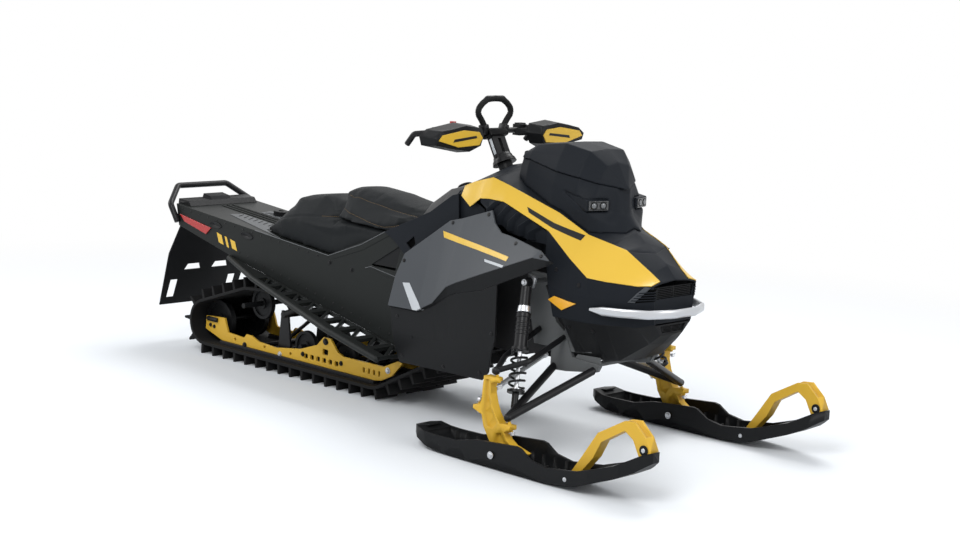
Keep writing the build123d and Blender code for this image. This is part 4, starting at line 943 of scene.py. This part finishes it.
springs, sleeves, silver = bmesh.new(), bmesh.new(), bmesh.new()
for side in SIDES.values():
    top, foot = mirrored(SHOCK_TOP, side), mirrored(SHOCK_FOOT, side)
    down = (foot - top).normalized()
    reach = (foot - top).length
    coil(springs, top.lerp(foot, 0.572), top.lerp(foot, 0.863))
    disc(sleeves, top.lerp(foot, 0.262), down, 0.0265, reach * 0.03, 28)
    disc(sleeves, top.lerp(foot, 0.292), down, 0.0235, reach * 0.243, 28)
    for share in (0.33, 0.36, 0.39, 0.42):
        disc(sleeves, top.lerp(foot, share), down, 0.025, reach * 0.012, 28)
    disc(silver, top.lerp(foot, 0.2), down, 0.0225, reach * 0.05, 28, 0.0245)
    disc(silver, top.lerp(foot, 0.565), down, 0.0078, reach * 0.31)
    disc(silver, top.lerp(foot, 0.862), down, 0.019, reach * 0.012)
    bolt(silver, top + Vector((0, side * 0.0142, 0)), (0, side, 0), 0.008, 0.008)
    block(silver, top + Vector((0.004, -side * 0.021, 0.002)), (0.034, 0.012, 0.042),
          Matrix.Rotation(0.3, 4, "Y"), 0.003)
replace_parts(close_piece("shock_springs", springs, "chassis", "black_steel", sharp=60.0), "springs")
close_piece("shock_sleeves", sleeves, "chassis", "black_steel")
close_piece("shock_metal", silver, "chassis", "bare_aluminium")

# %% [markdown]
# ## Gussets under the belly pan
# On each side a flat pressing closes the corner between the front frame and
# the rear edge of the belly pan, and a narrow flange below it closes the slit
# between the frame's top and the pan. Both are sheet metal, so each is one
# outline given a thickness.

# %% Gussets and their flanges
GUSSET = ((0.79, 0.35), (0.955, 0.37), (0.975, 0.44), (0.83, 0.44))
GUSSET_FLANGE = ((0.86, 0.322), (1.0, 0.328), (0.992, 0.358), (0.89, 0.354))
bm = bmesh.new()
for side in SIDES.values():
    plate(bm, [(x, side * 0.15, z) for x, z in GUSSET], (0, side, 0), 0.004)
    plate(bm, [(x, side * 0.146, z) for x, z in GUSSET_FLANGE], (0, side, 0), 0.004)
close_piece("frame_gussets", bm, "chassis", "frame_grey")

# %% [markdown]
# ## Bolts of the skis and spindles
# Every pivot that a mechanic may undo shows a bright bolt. They are joined
# into one piece for each body, so that they turn with the ski or the spindle.
# Black rubber washers under the loop's bolts and a block behind the spindle
# make a third piece.

# %% Ski and spindle bolts
KINGPIN = Vector((-0.067, 0.002, 0.152)).normalized()
KINGPIN_Y, SKI_Y = 0.48, 0.487
for word, side in SIDES.items():
    bm = bmesh.new()
    for away in (-1.0, 1.0):
        bolt(bm, (1.208, side * SKI_Y + away * 0.072, 0.038), (0, away, 0), 0.0052, 0.005)
    for away in (-1.0, 1.0):
        bolt(bm, (1.49, side * SKI_Y + away * 0.022, 0.187), (0, away, 0), 0.008, 0.006)
    close_piece(f"ski_bolts_{word}", bm, f"ski_{word}", "bare_aluminium")
    bm = bmesh.new()
    for x, z in ((0.805, 0.32), (0.872, 0.168)):
        bolt(bm, Vector((x, side * KINGPIN_Y, z)) - KINGPIN * 0.052, -KINGPIN, 0.0085, 0.012)
    bolt(bm, (0.735, side * KINGPIN_Y, 0.171), (0, 0, -1), 0.0075, 0.011)
    for y, away in ((0.565, side), (0.409, -side)):
        bolt(bm, (0.876, side * y, 0.05), (0, away, 0), 0.009, 0.006)
    close_piece(f"spindle_bolts_{word}", bm, f"spindle_{word}", "bare_aluminium")
    bm = bmesh.new()
    for away in (-1.0, 1.0):
        disc(bm, (1.49, side * SKI_Y + away * 0.022, 0.187), (0, away, 0), 0.017, 0.0028, 28)
    block(bm, (0.502, side * SKI_Y, 0.0745), (0.05, 0.06, 0.006), Matrix.Rotation(-0.12, 4, "Y"), 0.002)
    close_piece(f"ski_rubbers_{word}", bm, f"ski_{word}", "black_plastic")

# %% [markdown]
# ## Rail hardware
# The yellow rails carry the axles and arms of the skid on through bolts, and
# the rear axle slides in a black adjuster.

# %% Rail bolts
RAIL_FACE = 0.1397
RAIL_BOLTS = (   # x, z, radius, finish
    (-0.993, 0.07, 0.009, "black_steel"), (-0.757, 0.071, 0.008, "bare_aluminium"),
    (-0.47, 0.172, 0.010, "black_steel"), (-0.61, 0.097, 0.007, "black_steel"),
    (-0.371, 0.099, 0.007, "black_steel"), (-0.095, 0.118, 0.009, "bare_aluminium"),
    (-1.232, 0.122, 0.006, "black_steel"), (-1.206, 0.118, 0.006, "black_steel"),
)
for finish in ("black_steel", "bare_aluminium"):
    bm = bmesh.new()
    for x, z, radius, kind in RAIL_BOLTS:
        if kind == finish:
            for side in SIDES.values():
                bolt(bm, (x, side * RAIL_FACE, z), (0, side, 0), radius, 0.007)
    if finish == "black_steel":
        for side in SIDES.values():
            block(bm, (-1.215, side * (RAIL_FACE + 0.004), 0.149), (0.07, 0.008, 0.02), None, 0.002)
            hose(bm, [(-1.25, side * 0.1465, 0.149), (-1.18, side * 0.1465, 0.149)], 0.005)
    close_piece(f"rail_bolts_{finish}", bm, "chassis", finish)

# %% [markdown]
# ## Tunnel and deck
# The tunnel is folded sheet held by rivets: a row under the deck's edge, a row
# over the running board, and two larger bolts by the knee. Their places follow
# the sloping edges, so each edge is named by its two ends.

# %% Rivets of the tunnel
TUNNEL_FACE = 0.205
DECK = ((-1.406, 0.64), (-0.401, 0.543))
BOARD = ((-1.017, 0.459), (0.084, 0.228))


def height_on(line, x):
    """Height of a sloping edge at one x."""
    (x0, z0), (x1, z1) = line
    return z0 + (z1 - z0) * (x - x0) / (x1 - x0)


RIVET_ROWS = (   # edge, height over it, first x, pitch, count
    (DECK, -0.014, -1.36, 0.06, 16),
    (BOARD, 0.034, -0.96, 0.055, 19),
)
bm = bmesh.new()
for side in SIDES.values():
    for edge, over, first, pitch, count in RIVET_ROWS:
        for number in range(count):
            x = first + number * pitch
            dome(bm, (x, side * TUNNEL_FACE, height_on(edge, x) + over), (0, side, 0), 0.0042, 0.0022)
    for x, z in ((-0.384, 0.515), (-0.253, 0.503)):
        bolt(bm, (x, side * TUNNEL_FACE, z), (0, side, 0), 0.006, 0.005)
close_piece("tunnel_rivets", bm, "chassis", "black_steel")

# %% [markdown]
# Oval sockets on the tunnel's shoulders take luggage fasteners. Each is a low
# cone squeezed to an oval, whose outer face is inset and pushed back to leave
# a rim.

# %% Luggage sockets
bm = bmesh.new()
for side in SIDES.values():
    for x in (-0.912, -1.125):
        ring = Matrix.Translation((x, side * TUNNEL_FACE, height_on(DECK, x) - 0.034))
        tilt = ring @ Matrix.Rotation(0.096, 4, "Y") @ Matrix.Rotation(-side * math.pi / 2, 4, "X")
        shape = tilt @ Matrix.Diagonal((1.0, 0.34, 1.0, 1.0)) @ Matrix.Translation((0, 0, 0.002))
        rim = bmesh.ops.create_cone(bm, cap_ends=True, segments=36, radius1=0.042, radius2=0.038,
                                    depth=0.004, matrix=shape)
        outer = [f for f in once(f for v in rim["verts"] for f in v.link_faces) if abs(f.normal.y) > 0.9]
        bmesh.ops.inset_individual(bm, faces=outer, thickness=0.006, depth=0.0)
        front = [f for f in outer if f.calc_center_median().y * side > TUNNEL_FACE + 0.003]
        bmesh.ops.translate(bm, vec=(0, -side * 0.003, 0), verts=once(v for f in front for v in f.verts))
close_piece("luggage_sockets", bm, "chassis", "black_plastic")

# %% [markdown]
# The deck wears two pale grip strips with slanting ribs, and three long ribs
# stiffen it between them.

# %% Deck strips and ribs
DECK_UP = Vector((0.0961, 0, 0.9954))
STRIP = ((-1.15, 0.112), (-1.135, 0.05), (-0.852, 0.05), (-0.852, 0.152), (-0.715, 0.194), (-0.7, 0.2), (-0.86, 0.17))


def on_deck(x, y, over):
    """A point at some height over the sloping deck."""
    return (x, y, height_on(DECK, x) + over)


bm = bmesh.new()
for side in SIDES.values():
    plate(bm, [on_deck(x, side * y, 0.0003) for x, y in STRIP], DECK_UP, 0.0016)
close_piece("deck_strips", bm, "chassis", "cast_aluminium")
bm = bmesh.new()
for side in SIDES.values():
    for number in range(9):
        x = -1.12 + number * 0.033
        hose(bm, [on_deck(x, side * 0.06, 0.0022), on_deck(x + 0.02, side * 0.1, 0.0022)], 0.0018, 6)
for y in (-0.028, 0.0, 0.028):
    hose(bm, [on_deck(-1.31, y, 0.002), on_deck(-0.86, y, 0.002)], 0.004, 8)
close_piece("deck_ribs", bm, "chassis", "dark_aluminium")

# %% [markdown]
# A pale bead runs along the tunnel's shoulder and up beside the seat. It is a
# painted highlight, set where the folded edge catches the light. A thin dark
# flange stands under its sloping run, and a short pale ledge closes the foot of
# the recess before it.

# %% Painted highlight bead and ledge on the shoulder
HIGHLIGHT_BEAD = ((-0.86, 0.5875), (-0.392, 0.5428), (-0.198, 0.613), (-0.059, 0.682))
LEDGE = ((-0.173, 0.523), (-0.142, 0.532), (0.003, 0.511))
SILL = ((-0.142, 0.5325), (0.008, 0.533), (0.008, 0.505), (-0.06, 0.505))
FLANGE = ((-0.4, 0.5415), (-0.198, 0.6115), (-0.059, 0.6805), (-0.03, 0.672), (-0.19, 0.592), (-0.37, 0.53))
flanges = bmesh.new()
highlight_bead_and_ledge = bmesh.new()
for side in SIDES.values():
    # The bead is a painted highlight along the shoulder's folded edge.
    hose(highlight_bead_and_ledge, [(x, side * 0.2062, z) for x, z in HIGHLIGHT_BEAD], 0.0017, 6)
    hose(highlight_bead_and_ledge, [(x, side * 0.2056, z) for x, z in LEDGE], 0.0016, 6)
    for outline in (FLANGE, SILL):
        plate(flanges, [(x, side * 0.2052, z) for x, z in outline], (0, side, 0), 0.0012)
close_piece("tunnel_highlight_bead_and_ledge", highlight_bead_and_ledge, "chassis", "cast_aluminium")
close_piece("tunnel_flanges", flanges, "chassis", "dark_aluminium")

# %% [markdown]
# ## Knee panels
# Between the seat's front, the console and the side panel a moulded plate
# covers the machine's flank, where the rider's knee rests. It has a small air
# hole, made by filling between an outer and an inner ring of edges, and a black
# plate stands behind that hole as painted shade for its inside.

# %% Knee panels
KNEE = (   # x, z in millimetres, as in all the outlines below
    (-62, 680), (-20, 698), (100, 748), (187, 786), (240, 821), (300, 860), (330, 868), (336, 790),
    (336, 700), (220, 600), (150, 545), (110, 560), (60, 600), (20, 632), (-12, 656),
)
KNEE_FRONT = ((300, 850), (325, 880), (350, 866), (400, 850), (455, 822), (455, 750), (372, 735), (300, 720))
KNEE_HOLE = ((62, 651), (104, 683), (113, 654), (85, 630))
KNEE_BACK = ((50, 620), (50, 695), (125, 695), (125, 620))
KNEE_FACE, KNEE_THICK, KNEE_FRONT_FACE = 0.2088, 0.006, 0.197
# Near black with almost no gloss: painted shade for the insides of holes and openings.
HOLE_SHADE_BLACK = (0.002, 0.002, 0.002)
FINISHES["painted_shade_hole"] = hard_finish("painted_shade_hole", HOLE_SHADE_BLACK, HOLE_SHADE_BLACK, 0.8, 0.0, 500.0, 0.02, 0.0, 0.02)


def upright(corners, y):
    """An outline of millimetres in x and z, as points at one y."""
    return [(x * MM, y, z * MM) for x, z in corners]


def ring(bm, corners, y):
    """The closed ring of edges round an outline."""
    verts = [bm.verts.new(point) for point in upright(corners, y)]
    return [bm.edges.new(pair) for pair in zip(verts, verts[1:] + verts[:1])]


bm = bmesh.new()
hole_shade_backs = bmesh.new()
for side in SIDES.values():
    edges = ring(bm, KNEE, side * KNEE_FACE) + ring(bm, KNEE_HOLE, side * KNEE_FACE)
    faces = [f for f in bmesh.ops.triangle_fill(bm, use_beauty=True, use_dissolve=False, edges=edges)["geom"]
             if isinstance(f, bmesh.types.BMFace)]
    grown = bmesh.ops.extrude_face_region(bm, geom=faces)["geom"]
    bmesh.ops.translate(bm, vec=(0, side * KNEE_THICK, 0), verts=verts_in(grown))
    plate(bm, upright(KNEE_FRONT, side * KNEE_FRONT_FACE), (0, side, 0), 0.004)
    # A black plate behind the air hole, painted shade for the hole's inside.
    plate(hole_shade_backs, upright(KNEE_BACK, side * (KNEE_FACE - 0.0014)), (0, side, 0), 0.001)
close_piece("knee_panels", bm, "chassis", "charcoal_plastic")
close_piece("knee_hole_shade_backs", hole_shade_backs, "chassis", "painted_shade_hole")

# %% [markdown]
# ## Plain stripes
# Where a maker would print names, this machine has plain stripes. Each one is
# cut out of a copy of the panel that carries it, pushed out by less than a
# millimetre and given a thickness, so it follows every fold of the panel.

# %% Stripes
STRIPE_LIFT, STRIPE_THICK = 0.0003, 0.0004
FINISHES["white_film"] = hard_finish("white_film", (0.5, 0.52, 0.54), (0.46, 0.48, 0.5), 0.35, 0.0, 900.0, 0.03)
FINISHES["black_film"] = hard_finish(
    "black_film", (0.012, 0.012, 0.013), (0.016, 0.016, 0.017), 0.35, 0.0, 900.0, 0.03)


def cut_out(bm, corners, view):
    """Keep what lies inside a convex outline, drawn from the side or from the front."""
    to_space = (lambda a, b: Vector((a, 0, b))) if view == "side" else (lambda a, b: Vector((0, a, b)))
    look = Vector((0, 1, 0)) if view == "side" else Vector((1, 0, 0))
    points = [to_space(a * MM, b * MM) for a, b in corners]
    middle = sum(points, Vector()) / len(points)
    for a, b in zip(points, points[1:] + points[:1]):
        outward = (b - a).cross(look)
        if outward.dot(a - middle) < 0:
            outward.negate()
        bmesh.ops.bisect_plane(bm, geom=everything(bm), plane_co=a, plane_no=outward, clear_outer=True)


def stripe(name, nodes, outlines, finish, view="side", body="chassis",
           lift=STRIPE_LIFT, thick=STRIPE_THICK):
    """One piece of thin patches, each cut out of the panels by its outline."""
    whole = bmesh.new()
    for corners in outlines:
        bm = merged_copy(*nodes)
        cut_out(bm, corners, view)
        if view == "side":
            hidden = [f for f in bm.faces if f.normal.y * f.calc_center_median().y < 0 or abs(f.normal.y) < 0.4]
        else:
            hidden = [f for f in bm.faces if f.normal.x < 0.4]
        bmesh.ops.delete(bm, geom=hidden, context="FACES")
        bm.normal_update()
        for vert in bm.verts:
            vert.co += vert.normal * (lift + thick)
        bmesh.ops.solidify(bm, geom=bm.faces[:], thickness=thick)
        pour_into(whole, bm, name + "_part")
    close_piece(name, whole, body, finish)


SIDE_SKINS = ("side_panels", "panel_bevels", "lower_panels")
SIDE_STRIPE = ((308, 731), (320, 708), (684, 672), (690, 688))
SIDE_FLASH = ((150, 520), (186, 524), (278, 437), (234, 424))
SIDE_UNDERLINE = ((566, 664), (572, 655), (676, 648), (678, 657))
HOOD_STRIPE = ((672, 858), (688, 840), (905, 764), (907, 781))
stripe("side_stripes", SIDE_SKINS, [SIDE_STRIPE], "yellow_plastic")
stripe("side_flashes", SIDE_SKINS, [SIDE_FLASH], "white_film")
stripe("side_underlines", SIDE_SKINS, [SIDE_UNDERLINE], "white_film")
stripe("hood_stripes", ("hood_bands",), [HOOD_STRIPE], "black_film")

# %% [markdown]
# The same cutter makes three short bars near the tail, the dark wings on either
# side of the nose grille with their slats, and a mark on each hand guard. The
# wings are painted shade, a black film where the grille's openings lie. What is
# cut from the front is drawn in y and z.

# %% Tail bars, grille wings of painted shade, and guard marks
TAIL_BARS = (
    ((-1118, 548), (-1084, 540), (-1068, 499), (-1102, 507)),
    ((-1064, 539), (-1048, 535), (-1030, 491), (-1046, 495)),
    ((-1026, 531), (-992, 523), (-976, 484), (-1010, 492)),
)
stripe("tail_bars", ("tunnel",), TAIL_BARS, "yellow_plastic")
WING_SHADE = ((-151, 620), (-104, 628), (-104, 584), (-173, 576))
WING_SLATS = [
    ((-170 + 5 * n, 582 + 9 * n), (-104, 588 + 9 * n), (-104, 592 + 9 * n), (-168 + 5 * n, 586 + 9 * n))
    for n in range(4)
]
GUARD_MARK = ((-196, 1078), (-200, 1087), (-312, 1076), (-318, 1065))


def both_sides(outlines):
    """Outlines of the right side, then the same ones of the left."""
    return [*outlines, *([(-y, z) for y, z in row] for row in outlines)]


# The wings are painted shade for the grille's openings.
stripe("grille_wings_painted_shade", ("nose_cowl",), both_sides([WING_SHADE]), "painted_shade_hole", "front")
stripe("grille_wing_slats", ("nose_cowl",), both_sides(WING_SLATS),
       "charcoal_plastic", "front", lift=0.0009, thick=0.0022)
stripe("guard_marks", ("guard_inserts",), both_sides([GUARD_MARK]),
       "black_film", "front", "steering")

# %% [markdown]
# ## Handlebar trim
# Ribbed grips, a brake lever on the left, a thumb throttle and a red stop
# button on the right. The levers are bars bent at a few corners, and the rest
# are discs and blocks set along the bar.

# %% Grips, levers and switch
BAR_INNER, BAR_OUTER = Vector((0.291, -0.13, 1.092)), Vector((0.25, -0.3, 1.088))
ribs, levers, red = bmesh.new(), bmesh.new(), bmesh.new()
for side in SIDES.values():
    inner, outer = mirrored(BAR_INNER, side), mirrored(BAR_OUTER, side)
    way = (outer - inner).normalized()
    for number in range(15):
        disc(ribs, inner.lerp(outer, 0.37 + number * 0.034), way, 0.0172, 0.0026, 20)
    for share in (0.36, 0.885):
        disc(ribs, inner.lerp(outer, share), way, 0.0205, 0.004, 24)
hose(levers, [(0.296, 0.156, 1.09), (0.314, 0.18, 1.086), (0.316, 0.236, 1.083), (0.303, 0.286, 1.08)], 0.0055)
hose(levers, [(0.292, -0.156, 1.08), (0.3, -0.178, 1.068), (0.294, -0.205, 1.06), (0.28, -0.222, 1.058)], 0.0055)
for side in SIDES.values():
    block(levers, (0.29, side * 0.158, 1.0865), (0.026, 0.03, 0.03), None, 0.004)
block(levers, (0.272, -0.2, 1.112), (0.034, 0.036, 0.014), None, 0.004)
disc(levers, (0.272, -0.2, 1.118), (0, 0, 1), 0.0075, 0.006)
disc(red, (0.272, -0.2, 1.1235), (0, 0, 1), 0.0125, 0.007, 28, 0.0115)
close_piece("grip_ribs", ribs, "steering", "track_rubber")
close_piece("levers", levers, "steering", "black_plastic")
close_piece("stop_button", red, "steering", "red_lens")

# %% [markdown]
# ## Strap sleeve and riser
# The strap loop over the bars wears a rubber sleeve, wound like a grip: a bar
# along its corners with a thin disc every six millimetres. Both halves meet at
# the top.

# %% Strap sleeve
RISER_HEAD = Vector((0.291, 0, 1.092))
BAR_X = RISER_HEAD.x
STRAP = (   # y, z
    (-0.052, 1.1103), (-0.07, 1.135), (-0.085, 1.152), (-0.0885, 1.166), (-0.083, 1.18),
    (-0.066, 1.196), (-0.042, 1.2095), (-0.02, 1.2125), (0.0, 1.2132),
)
WIND_PITCH = 0.006
sleeve = bmesh.new()
for side in SIDES.values():
    corners = [Vector((BAR_X, side * y, z)) for y, z in STRAP]
    hose(sleeve, corners, 0.0109, 16)
    for start, end in zip(corners, corners[1:]):
        count = max(2, round((end - start).length / WIND_PITCH))
        for number in range(count):
            disc(sleeve, start.lerp(end, (number + 0.5) / count), end - start, 0.0116, 0.0034, 16)
close_piece("strap_sleeve", sleeve, "steering", "track_rubber")

# %% [markdown]
# A clamp block joins bar and riser, two blocks hold the strap's ends, and a
# pale plate is let into each side of the riser. A rubber boot of three rings
# closes the hole that the column comes through.

# %% Riser clamps, plates and boot
RISER_FOOT = Vector((0.35, 0, 0.985))
RISER_LEAN = Matrix.Rotation(-0.504, 4, "Y")
pale, wrap = bmesh.new(), bmesh.new()
rise = (RISER_HEAD - RISER_FOOT).normalized()
for side in SIDES.values():
    middle = RISER_FOOT.lerp(RISER_HEAD, 0.47) + Vector((0, side * 0.0342, 0))
    block(pale, middle, (0.012, 0.0024, 0.062), RISER_LEAN, 0.001)
    for share in (0.14, 0.8):
        bolt(wrap, RISER_FOOT.lerp(RISER_HEAD, share) + Vector((0, side * 0.033, 0)), (0, side, 0), 0.0065, 0.006)
for side in SIDES.values():
    block(wrap, (BAR_X, side * 0.052, 1.0985), (0.034, 0.027, 0.038), Matrix.Rotation(-side * 0.3, 4, "X"), 0.005)
    bolt(wrap, (0.3075, side * 0.052, 1.105), (1, 0, 0.2), 0.005, 0.005)
    block(wrap, RISER_FOOT.lerp(RISER_HEAD, 0.9), (0.05, 0.1, 0.03), RISER_LEAN, 0.006)
BOOT = ((-0.012, 0.047, 0.014, 0.043), (0.002, 0.041, 0.012, 0.036), (0.014, 0.037, 0.01, 0.032))
for up, wide, tall, top in BOOT:
    disc(wrap, RISER_FOOT + rise * up, rise, wide, tall, 32, top)
close_piece("riser_plates", pale, "steering", "white_film")
close_piece("riser_fittings", wrap, "steering", "black_steel")

# %% [markdown]
# ## Lamps, gauge and filler cap
# Behind each lamp's clear front sit two round lenses in a dark bezel. They are
# placed in the lamp's own turned frame, so that they look where it looks.

# %% Lamp lenses
LAMP_PLACE, LAMP_TURN = Vector((0.914, 0.117, 0.884)), math.radians(17)
lenses, rims = bmesh.new(), bmesh.new()
for side in SIDES.values():
    front = Matrix.Translation(mirrored(LAMP_PLACE, -side)) @ Matrix.Rotation(side * LAMP_TURN, 4, "Z")
    for across in (-0.019, 0.019):
        face = front @ Vector((0.0112, across, 0.0))
        ahead = (front.to_3x3() @ Vector((1, 0, 0))).normalized()
        dome(lenses, face, ahead, 0.0105, 0.004, 20)
        disc(rims, face, ahead, 0.0145, 0.0012, 24)
    for low in (-0.0125, 0.0125):
        block(rims, front @ Vector((0.0118, 0, low)), (0.0015, 0.07, 0.002), front.to_3x3().to_4x4(), 0.0004)
close_piece("lamp_lenses", lenses, "chassis", "lamp_lens")

# %% [markdown]
# Each lamp sits in a tapered fairing that runs back into the pod. It is the
# tightest skin, a convex hull, round the lamp's own corners and one point
# further back on the pod.

# %% Lamp fairings
FAIRING_TAIL = Vector((0.79, -0.154, 0.924))
bm = bmesh.new()
for side in SIDES.values():
    middle = mirrored(LAMP_PLACE, -side)
    ahead = Matrix.Rotation(side * LAMP_TURN, 3, "Z") @ Vector((1, 0, 0))
    for vert in frame["nodes"]["headlamps"].data.vertices:
        if vert.co.y * side > 0:
            offset = vert.co - middle
            depth = offset.dot(ahead)
            bm.verts.new(middle + (offset - ahead * depth) * 1.17 + ahead * (depth - 0.004))
    bm.verts.new(mirrored(FAIRING_TAIL, side))
    hull = bmesh.ops.convex_hull(bm, input=[v for v in bm.verts if v.co.y * side > 0])
    spare = once(verts_in(hull["geom_interior"] + hull["geom_unused"]))
    bmesh.ops.delete(bm, geom=spare, context="VERTS")
close_piece("lamp_fairings", bm, "chassis", "charcoal_plastic", sharp=25.0)
close_piece("lamp_rims", rims, "chassis", "black_plastic")

# %% [markdown]
# The gauge is a black glass plate in a raised rim. It leans as the solid's rear
# face leans, which a line from the rider's side finds.

# %% Gauge rim and glass
glass, rim = bmesh.new(), bmesh.new()
low_corner, high_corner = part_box("gauge")
back, facing = met_by("gauge", (0.3, 0.0, (low_corner.z + high_corner.z) / 2), (1, 0, 0))
screen = Matrix.Rotation(math.atan2(facing.z, -facing.x), 4, "Y")
tall = high_corner.z - low_corner.z
block(rim, back + facing * 0.001, (0.004, 0.14, tall * 0.8), screen, 0.0015)
block(glass, back + facing * 0.0034, (0.0016, 0.12, tall * 0.62), screen, 0.0006)
close_piece("gauge_rim", rim, "chassis", "charcoal_plastic")
FINISHES["gauge_glass"] = hard_finish(
    "gauge_glass", (0.006, 0.008, 0.011), (0.008, 0.01, 0.014), 0.08, 0.0, 200.0, 0.0, 0.02, 0.5, 0.6)
close_piece("gauge_glass", glass, "chassis", "gauge_glass")

# %% [markdown]
# A ribbed cap closes the fuel filler on the console, and a thin wall closes the
# console's end in front of the seat.

# %% Filler cap and console end
CAP_RIBS = 18
seat_of_cap, upward = met_by("console", (0.16, 0.0, 2.0), (0, 0, -1))
bm = bmesh.new()
disc(bm, seat_of_cap, upward, 0.036, 0.007, 40)
disc(bm, seat_of_cap + upward * 0.007, upward, 0.03, 0.013, 36, 0.027)
for number in range(CAP_RIBS):
    swing = Matrix.Rotation(number * math.tau / CAP_RIBS, 4, "Z")
    place = along(seat_of_cap + upward * 0.0125, upward) @ (swing @ Vector((0.0295, 0, 0)))
    block(bm, place, (0.004, 0.004, 0.01), swing, 0.0008)
close_piece("filler_cap", bm, "chassis", "black_plastic")

END_WALL = ((0.0, 0.8), (0.1, 0.791), (0.15, 0.744), (0.176, 0.717), (0.17, 0.694))
END_WALL_X = 0.0745
bm = bmesh.new()
wall = [*END_WALL, *((-y, z) for y, z in reversed(END_WALL[1:]))]
plate(bm, [(END_WALL_X, y, z) for y, z in wall], (1, 0, 0), 0.003)
close_piece("console_end_wall", bm, "chassis", "charcoal_plastic")

# %% [markdown]
# ## Panel fasteners
# Quarter-turn fasteners hold the side panels. Each is a low disc with a slot,
# set on the panel where a line from outside meets it.

# %% Fasteners on the panels
FASTENERS = (   # node, x, z
    ("side_panels", 0.135, 0.6), ("side_panels", 0.35, 0.766), ("side_panels", 0.52, 0.815),
    ("side_panels", 0.7, 0.736), ("side_panels", 0.85, 0.712), ("lower_panels", 0.13, 0.39),
    ("lower_panels", 0.13, 0.235), ("lower_panels", 0.35, 0.23), ("lower_panels", 0.54, 0.24),
    ("lower_panels", 0.615, 0.4), ("nose_cowl", 0.85, 0.66), ("nose_cowl", 0.96, 0.62),
    ("belly_pan", 0.9, 0.46), ("belly_pan", 1.0, 0.46),
)
bm = bmesh.new()
for node, x, z in FASTENERS:
    for side in SIDES.values():
        place, normal = met_by(node, (x, side * 2.0, z), (0, -side, 0))
        if place is not None:
            disc(bm, place - normal * 0.0002, normal, 0.0075, 0.0022, 24, 0.007)
            slot_turn = normal.to_track_quat("Z", "X").to_matrix().to_4x4()
            block(bm, place + normal * 0.0024, (0.011, 0.0022, 0.0012), slot_turn)
close_piece("panel_fasteners", bm, "chassis", "black_steel")
